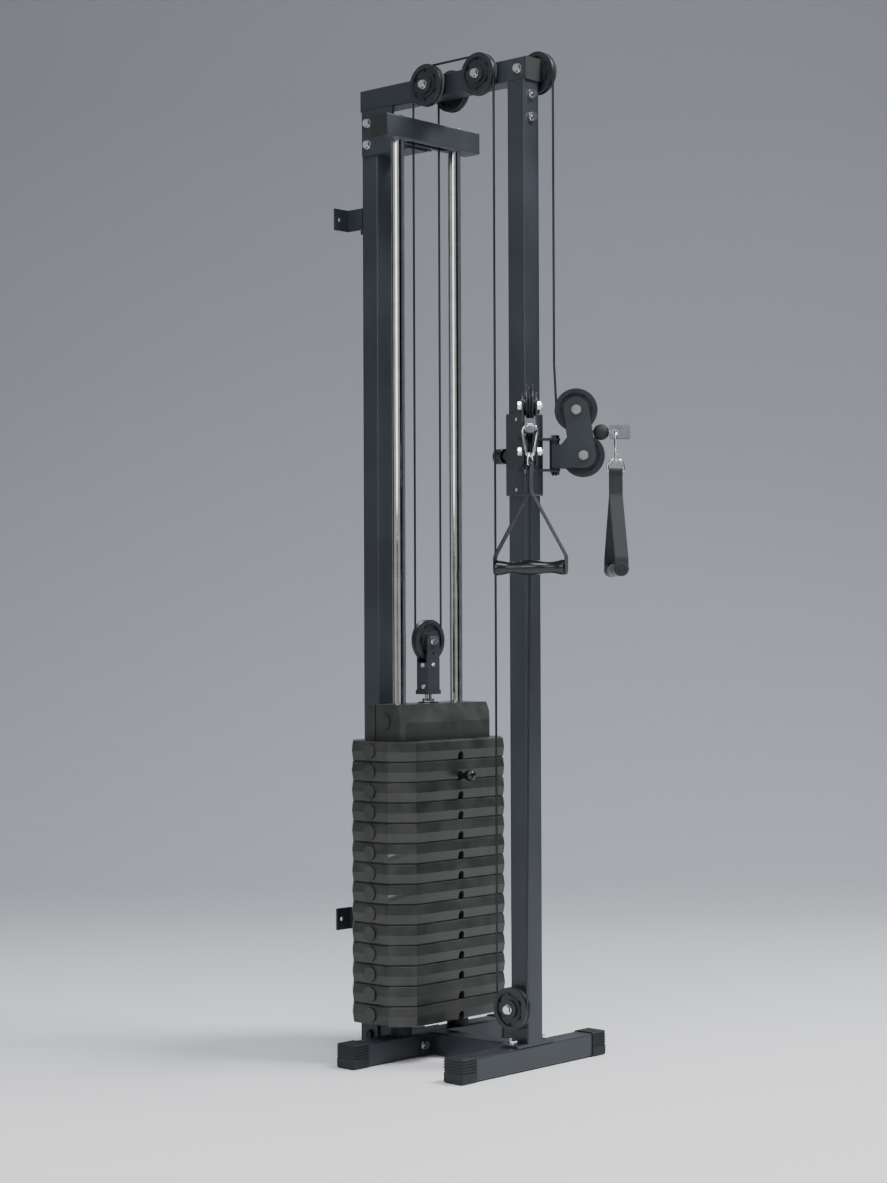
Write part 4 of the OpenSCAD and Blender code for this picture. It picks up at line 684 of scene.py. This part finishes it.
@dataclass
class Handle:
    """Webbing strap and foam grip that hang on one head's ring.

    Heights are over the middle of the carriage. The strap's path is set by
    the ring's bar, the web and the grip, with small gaps between them.
    """

    side: Side
    turn: float
    reach: float = 0.1338
    bar_z: float = -0.034731
    top_z: float = -0.029431
    sewn: float = 0.052
    drop: float = 0.222
    web_w: float = 0.030
    web_t: float = 0.0023
    grip_half: float = 0.0748
    grip_r: float = 0.016
    neck_r: float = 0.0122
    end_r: float = 0.0165
    bore_r: float = 0.0099
    bar_r: float = 0.0028
    ply_gap: float = 0.0001
    close_in: float = 0.014
    end_gap: float = 0.0013
    leg_end: float = 0.0195
    first_seam: float = 0.0185
    last_seam: float = 0.003
    seam_s: float = 0.0125
    waist: float = 0.62
    edge_r: float = 0.0012
    cap_r: float = 0.0128
    cap_dome: float = 0.0012

    def place(self, s: np.ndarray, n: np.ndarray, z: np.ndarray) -> np.ndarray:
        """Moves points from the handle's own axes to the row frame.

        Args:
            s: distance outwards, away from the post.
            n: distance along the grip.
            z: height over the middle of the carriage.

        Returns:
            The points, turned by the head's angle and the handle's own turn.
        """
        out = self.side.outwards()
        across = np.array([-out[1], out[0], 0.0])
        middle = self.side.swivel() + self.reach * out
        t = math.radians(self.turn)
        s_dir = out * math.cos(t) + across * math.sin(t)
        n_dir = across * math.cos(t) - out * math.sin(t)
        up = np.array([0.0, 0.0, 1.0])
        return (middle + s[..., None] * s_dir + n[..., None] * n_dir + z[..., None] * up)

    def strap_path(self) -> Tuple[np.ndarray, np.ndarray]:
        """Centre line of one half of the strap, from the bar to the grip.

        Returns:
            Distances along the grip and heights: a quarter turn over the
            ring's bar, an S down to the sewn part, the sewn part itself, and
            a leg that leaves it in a soft bend and straightens at the grip.
        """
        t = self.web_t
        r = self.bar_r + t / 2
        turn = np.linspace(math.pi / 2, 0, 9)
        over_n, over_z = r * np.cos(turn), self.bar_z + r * np.sin(turn)
        s_curve = np.linspace(0, 1, 9)[1:]
        ease = (1 - np.cos(math.pi * s_curve)) / 2
        inner = t / 2 + self.ply_gap
        down_n = r + (inner - r) * ease
        down_z = self.bar_z - self.close_in * s_curve
        sewn_z = self.top_z - self.sewn
        stitched_z = np.linspace(self.bar_z - self.close_in, sewn_z, 8)[1:]
        stitched_n = np.full(stitched_z.size, inner)
        grip_z = self.top_z - self.drop
        leg_n = self.grip_half + self.end_gap + t / 2
        bend_z = grip_z + self.leg_end
        u = np.linspace(0, 1, 60)[1:]
        leg_z = sewn_z + (bend_z - sewn_z) * u
        start, stop = 0.10, 0.06
        slope = 1 / (1 - start / 2 - stop / 2)
        rise = np.where(u < start, slope * u * u / (2 * start), slope * (u - start / 2))
        leg = inner + (leg_n - inner) * np.where(
            u > 1 - stop, 1 - slope * (1 - u) ** 2 / (2 * stop), rise)
        end_z = np.concatenate([np.linspace(bend_z, grip_z, 7)[1:],
                                grip_z - self.web_w / 2 * np.sin(
                                    np.linspace(0, math.pi / 2, 15)[1:])])
        end_n = np.full(end_z.size, leg_n)
        return (np.concatenate([over_n, down_n, stitched_n, leg, end_n]),
                np.concatenate([over_z, down_z, stitched_z, leg_z, end_z]))

    def strap_mesh(self) -> bpy.types.Mesh:
        """Webbing carried along the whole strap.

        Returns:
            A closed band. Its section is a flat oval of web_w by web_t, a
            superellipse of power 6, held square to the path. Below the grip
            the width shrinks as the chord of a circle, to a rounded end.
        """
        half_n, half_z = self.strap_path()
        n = np.concatenate([-half_n[:0:-1], half_n])
        z = np.concatenate([half_z[:0:-1], half_z])
        step = np.hypot(np.gradient(n), np.gradient(z))
        along = np.concatenate([[0], np.cumsum(np.hypot(np.diff(n), np.diff(z)))])
        tn, tz = np.gradient(n) / step, np.gradient(z) / step
        grip_z = self.top_z - self.drop
        below = np.clip((grip_z - z) / (self.web_w / 2), 0, 1)
        width = self.web_w / 2 * np.sqrt(np.clip(1 - below ** 2, 0, 1))
        thick = np.full(n.size, self.web_t / 2)
        thick[[0, -1]] = 0.0
        width[[0, -1]] = 0.0
        a = np.linspace(0, 2 * math.pi, 40, endpoint=False)
        power = 2 / 6
        flat_s = np.sign(np.cos(a)) * np.abs(np.cos(a)) ** power
        flat_t = np.sign(np.sin(a)) * np.abs(np.sin(a)) ** power
        s = width[:, None] * flat_s[None, :]
        off = thick[:, None] * flat_t[None, :]
        grid = self.place(s, n[:, None] + off * tz[:, None], z[:, None] - off * tn[:, None])
        mesh = grid_mesh("web", grid, False, True)
        uv = np.stack([np.broadcast_to(along[:, None], s.shape), s], axis=-1).reshape(-1, 2)
        add_uv(mesh, uv)
        return mesh

    def stitches_mesh(self) -> bpy.types.Mesh:
        """Thread of the seams, as rows of short stitches on both faces.

        Returns:
            Small egg shapes, each half sunk into the web: two rows across
            the strap and two rows along its edges between them.
        """
        t = self.web_t
        first, last = self.top_z - self.first_seam, self.top_z - self.sewn + self.last_seam
        across = np.linspace(-self.seam_s, self.seam_s, 8)
        down = np.linspace(first, last, 10)[1:-1]
        rows = [(x, zz, 0) for zz in (first, last) for x in across]
        rows += [(x, zz, 1) for x in (-self.seam_s, self.seam_s) for zz in down]
        spot = np.array([(x, face * (t + self.ply_gap), zz, way)
                         for face in (-1, 1) for x, zz, way in rows])
        theta = np.linspace(0, math.pi, 7)[:, None]
        phi = np.linspace(0, 2 * math.pi, 8, endpoint=False)[None, :]
        half_long, half_wide, half_tall = 0.0013, 0.00045, 0.0004
        long = half_long * np.cos(theta) * np.ones_like(phi)
        flat = half_wide * np.sin(theta) * np.cos(phi)
        proud = half_tall * np.sin(theta) * np.sin(phi)
        way = spot[:, 3][:, None, None]
        s = spot[:, 0][:, None, None] + np.where(way > 0, flat, long)
        n = spot[:, 1][:, None, None] + proud * np.ones_like(way)
        z = spot[:, 2][:, None, None] + np.where(way > 0, long, flat)
        points = self.place(s, n, z)
        count, rings, spokes = s.shape
        base = np.arange(rings * spokes).reshape(rings, spokes)
        base = np.hstack([base, base[:, :1]])
        quad = np.stack([base[:-1, :-1], base[1:, :-1], base[1:, 1:], base[:-1, 1:]],
                        axis=-1).reshape(-1, 4)
        faces = (quad[None] + (np.arange(count) * rings * spokes)[:, None, None]).reshape(-1, 4)
        mesh = bpy.data.meshes.new("thread")
        mesh.from_pydata(points.reshape(-1, 3).tolist(), [], faces.tolist())
        return mesh

    def grip_mesh(self) -> bpy.types.Mesh:
        """Foam grip turned about its bore.

        Returns:
            A closed ring of revolution. Outside, the radius is end_r at the
            flared ends, falls as half a cosine to neck_r, and swells again
            as half a cosine to grip_r in the middle; inside it is bore_r.
        """
        h = self.grip_half
        x = np.linspace(0, 1, 49)
        flare = np.clip((x - self.waist) / (1 - self.waist), 0, 1)
        swell = np.clip(x / self.waist, 0, 1)
        r = np.where(x > self.waist,
                     self.neck_r + (self.end_r - self.neck_r) * (1 - np.cos(math.pi * flare)) / 2,
                     self.neck_r + (self.grip_r - self.neck_r) * (1 + np.cos(math.pi * swell)) / 2)
        edge = self.edge_r
        corner = np.linspace(0, math.pi / 2, 6)
        out_n = np.concatenate([(h - edge) * x, h - edge + edge * np.sin(corner)[1:]])
        out_r = np.concatenate([r, self.end_r - edge + edge * np.cos(corner)[1:]])
        n = np.concatenate([-out_n[:0:-1], out_n])
        rr = np.concatenate([out_r[:0:-1], out_r])
        inner_n = np.linspace(h, -h, 12)
        n = np.concatenate([n, inner_n])
        rr = np.concatenate([rr, np.full(12, self.bore_r)])
        turn = np.linspace(0, 2 * math.pi, 72, endpoint=False)
        grip_z = self.top_z - self.drop
        s = rr[:, None] * np.cos(turn)[None, :]
        z = grip_z + rr[:, None] * np.sin(turn)[None, :]
        grid = self.place(s, np.broadcast_to(n[:, None], s.shape), z)
        return grid_mesh("foam", grid, True, True)

    def core_mesh(self) -> bpy.types.Mesh:
        """Tube through the grip, with a domed cap over each strap end.

        Returns:
            A closed solid of revolution: radius bore_r less a running gap
            inside the grip, and a low dome of 13 mm radius at each end.
        """
        face = self.grip_half + self.end_gap + self.web_t
        cap_in, tube_in, running = 0.0005, 0.0006, 0.0004
        u = np.linspace(0, math.pi / 2, 9)
        cap_n = face - cap_in + (self.cap_dome + cap_in) * np.sin(u)[::-1]
        cap_rr = self.cap_r * np.cos(u)[::-1]
        tube_n = np.array([face - tube_in, face - tube_in])
        tube_rr = np.array([self.cap_r, self.bore_r - running])
        n = np.concatenate([cap_n, tube_n, -tube_n[::-1], -cap_n[::-1]])
        rr = np.concatenate([cap_rr, tube_rr, tube_rr[::-1], cap_rr[::-1]])
        turn = np.linspace(0, 2 * math.pi, 48, endpoint=False)
        s = rr[:, None] * np.cos(turn)[None, :]
        z = self.top_z - self.drop + rr[:, None] * np.sin(turn)[None, :]
        grid = self.place(s, np.broadcast_to(n[:, None], s.shape), z)
        mesh = grid_mesh("core", grid, False, True)
        uv = np.stack([np.broadcast_to(n[:, None], s.shape), s], axis=-1).reshape(-1, 2)
        add_uv(mesh, uv)
        return mesh

    def build(self, webbing: bpy.types.Material, thread: bpy.types.Material,
              foam: bpy.types.Material) -> None:
        """Builds the strap and the grip and gives them to their bodies.

        Args:
            webbing: the woven strap's material.
            thread: the seams' material.
            foam: the grip's material.
        """
        name = self.side.value[0]
        strap = joined(f"{name}_webbing", [self.strap_mesh(), self.core_mesh(),
                                           self.stitches_mesh()],
                       [webbing, webbing, thread], f"{name}_handle")
        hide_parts(f"{name}_strap")
        grip = joined(f"{name}_foam_grip", [self.grip_mesh()], [foam], f"{name}_grip_body")
        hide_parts(f"{name}_grip")
        LOG.info("made the %s strap and grip", name)


# ---------------------------------------------------------------- cables and spring


@dataclass(frozen=True)
class Stretch:
    """A length of cable, or a spring, copied from its CAD solid.

    It names the still body at start and the moving one at end. Cuts
    is the number of rings added between them.
    """

    node: str
    piece: str
    still: str
    moving: str
    start: Point
    end: Point
    cuts: int = 0

    def copy_solid(self, material: bpy.types.Material) -> bpy.types.Object:
        """Copies the CAD solid into a closed mesh of its own.

        Args:
            material: what the piece is made of.

        Returns:
            The new piece at the origin; the CAD node is hidden behind it.
        """
        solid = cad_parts[self.node]
        mesh = solid.data.copy()
        mesh.transform(solid.matrix_world)
        work = bmesh.new()
        work.from_mesh(mesh)
        bmesh.ops.remove_doubles(work, verts=work.verts, dist=MERGE)
        start, run = Vector(self.start), Vector(self.end) - Vector(self.start)
        for step in range(self.cuts):
            bmesh.ops.bisect_plane(work, geom=work.verts[:] + work.edges[:] + work.faces[:],
                                   plane_co=start + run * step / self.cuts, plane_no=run)
        for face in work.faces:
            face.smooth = True
        for edge in work.edges:
            edge.smooth = edge.calc_face_angle(math.pi) < SHARP
        work.to_mesh(mesh)
        work.free()
        mesh.materials.clear()
        mesh.materials.append(material)
        piece = bpy.data.objects.new(self.piece, mesh)
        bpy.context.scene.collection.objects.link(piece)
        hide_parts(self.node)
        return piece

    def build(self, material: bpy.types.Material) -> None:
        """Copies the cable length into a piece of its own, attached to no body.

        Args:
            material: the cable's material.
        """
        piece = self.copy_solid(material)
        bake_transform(piece)
        LOG.info("made %s between %s and %s", self.piece, self.still, self.moving)

    def build_spring(self, material: bpy.types.Material) -> None:
        """Copies the spring into a piece of its own that rides on the still body.

        Args:
            material: the spring's material.
        """
        piece = self.copy_solid(material)
        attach(piece, self.still)
        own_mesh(piece)
        LOG.info("made %s inside %s", self.piece, self.still)


@dataclass(frozen=True)
class Drive:
    """Where the cable's moving lengths, and the pin's spring, start and end.

    The heads' cables stretch past their wheels, from the distance over the
    swivel where each clears its wheel, to the inner face of its stop.
    """

    cable_x: float = 0.0425
    cable_y: float = -0.204
    top_z: float = 2.185
    base_z: float = 0.134
    upper_end_z: float = 1.5405
    lower_end_z: float = 1.1395
    stack_y: float = 0.136
    block_z: float = 0.9336
    right_clear: float = 0.060
    left_clear: float = 0.070
    stop_at: float = 0.0846
    cuts: int = 12
    spring_z: float = 1.340
    spring_fixed_y: float = -0.104
    spring_free_y: float = -0.1155
    spring_keep: float = 0.17

    def head_length(self, side: Side, clear: float) -> Stretch:
        """Describes one head's cable length.

        Args:
            side: the machine's side.
            clear: distance over the swivel where the cable clears its wheel.

        Returns:
            The length, which runs straight out from its head.
        """
        name = side.value[0]
        ends = [tuple(side.swivel() + at * side.outwards()) for at in (clear, self.stop_at)]
        return Stretch(f"{name}_head_cable", f"{name}_cable_length", f"{name}_head",
                       f"{name}_cable_end", ends[0], ends[1], self.cuts)

    def build(self) -> None:
        """Builds every cable length that changes, and the pin's spring."""
        x, y = self.cable_x, self.cable_y
        lengths = (
            Stretch("upper_cable_run", "upper_cable_length", "frame", "carriage",
                    (x, y, self.top_z), (x, y, self.upper_end_z)),
            Stretch("lower_cable_run", "lower_cable_length", "frame", "carriage",
                    (-x, y, self.base_z), (-x, y, self.lower_end_z)),
            Stretch("lift_cable", "lift_cable_loop", "frame", "stack",
                    (0.0, self.stack_y, self.top_z), (0.0, self.stack_y, self.block_z)),
            self.head_length(Side.RIGHT, self.right_clear),
            self.head_length(Side.LEFT, self.left_clear),
        )
        for length in lengths:
            length.build(bpy.data.materials[CABLE_COAT.name])
        spring = Stretch("pop_pin_spring", "pop_pin_coil", "carriage", "pop_pin",
                         (0.0, self.spring_fixed_y, self.spring_z),
                         (0.0, self.spring_free_y, self.spring_z))
        spring.build_spring(bpy.data.materials[ZINC.name])


def main() -> None:
    """Builds the studio, then the machine, and reports each piece."""
    Studio().build()
    Dressing().apply()
    web, thread, foam = Webbing().build(), THREAD.build(), FOAM.build()
    Handle(Side.RIGHT, 6.0).build(web, thread, foam)
    Handle(Side.LEFT, -15.0).build(web, thread, foam)
    Drive().build()


if __name__ == "__main__":
    main()
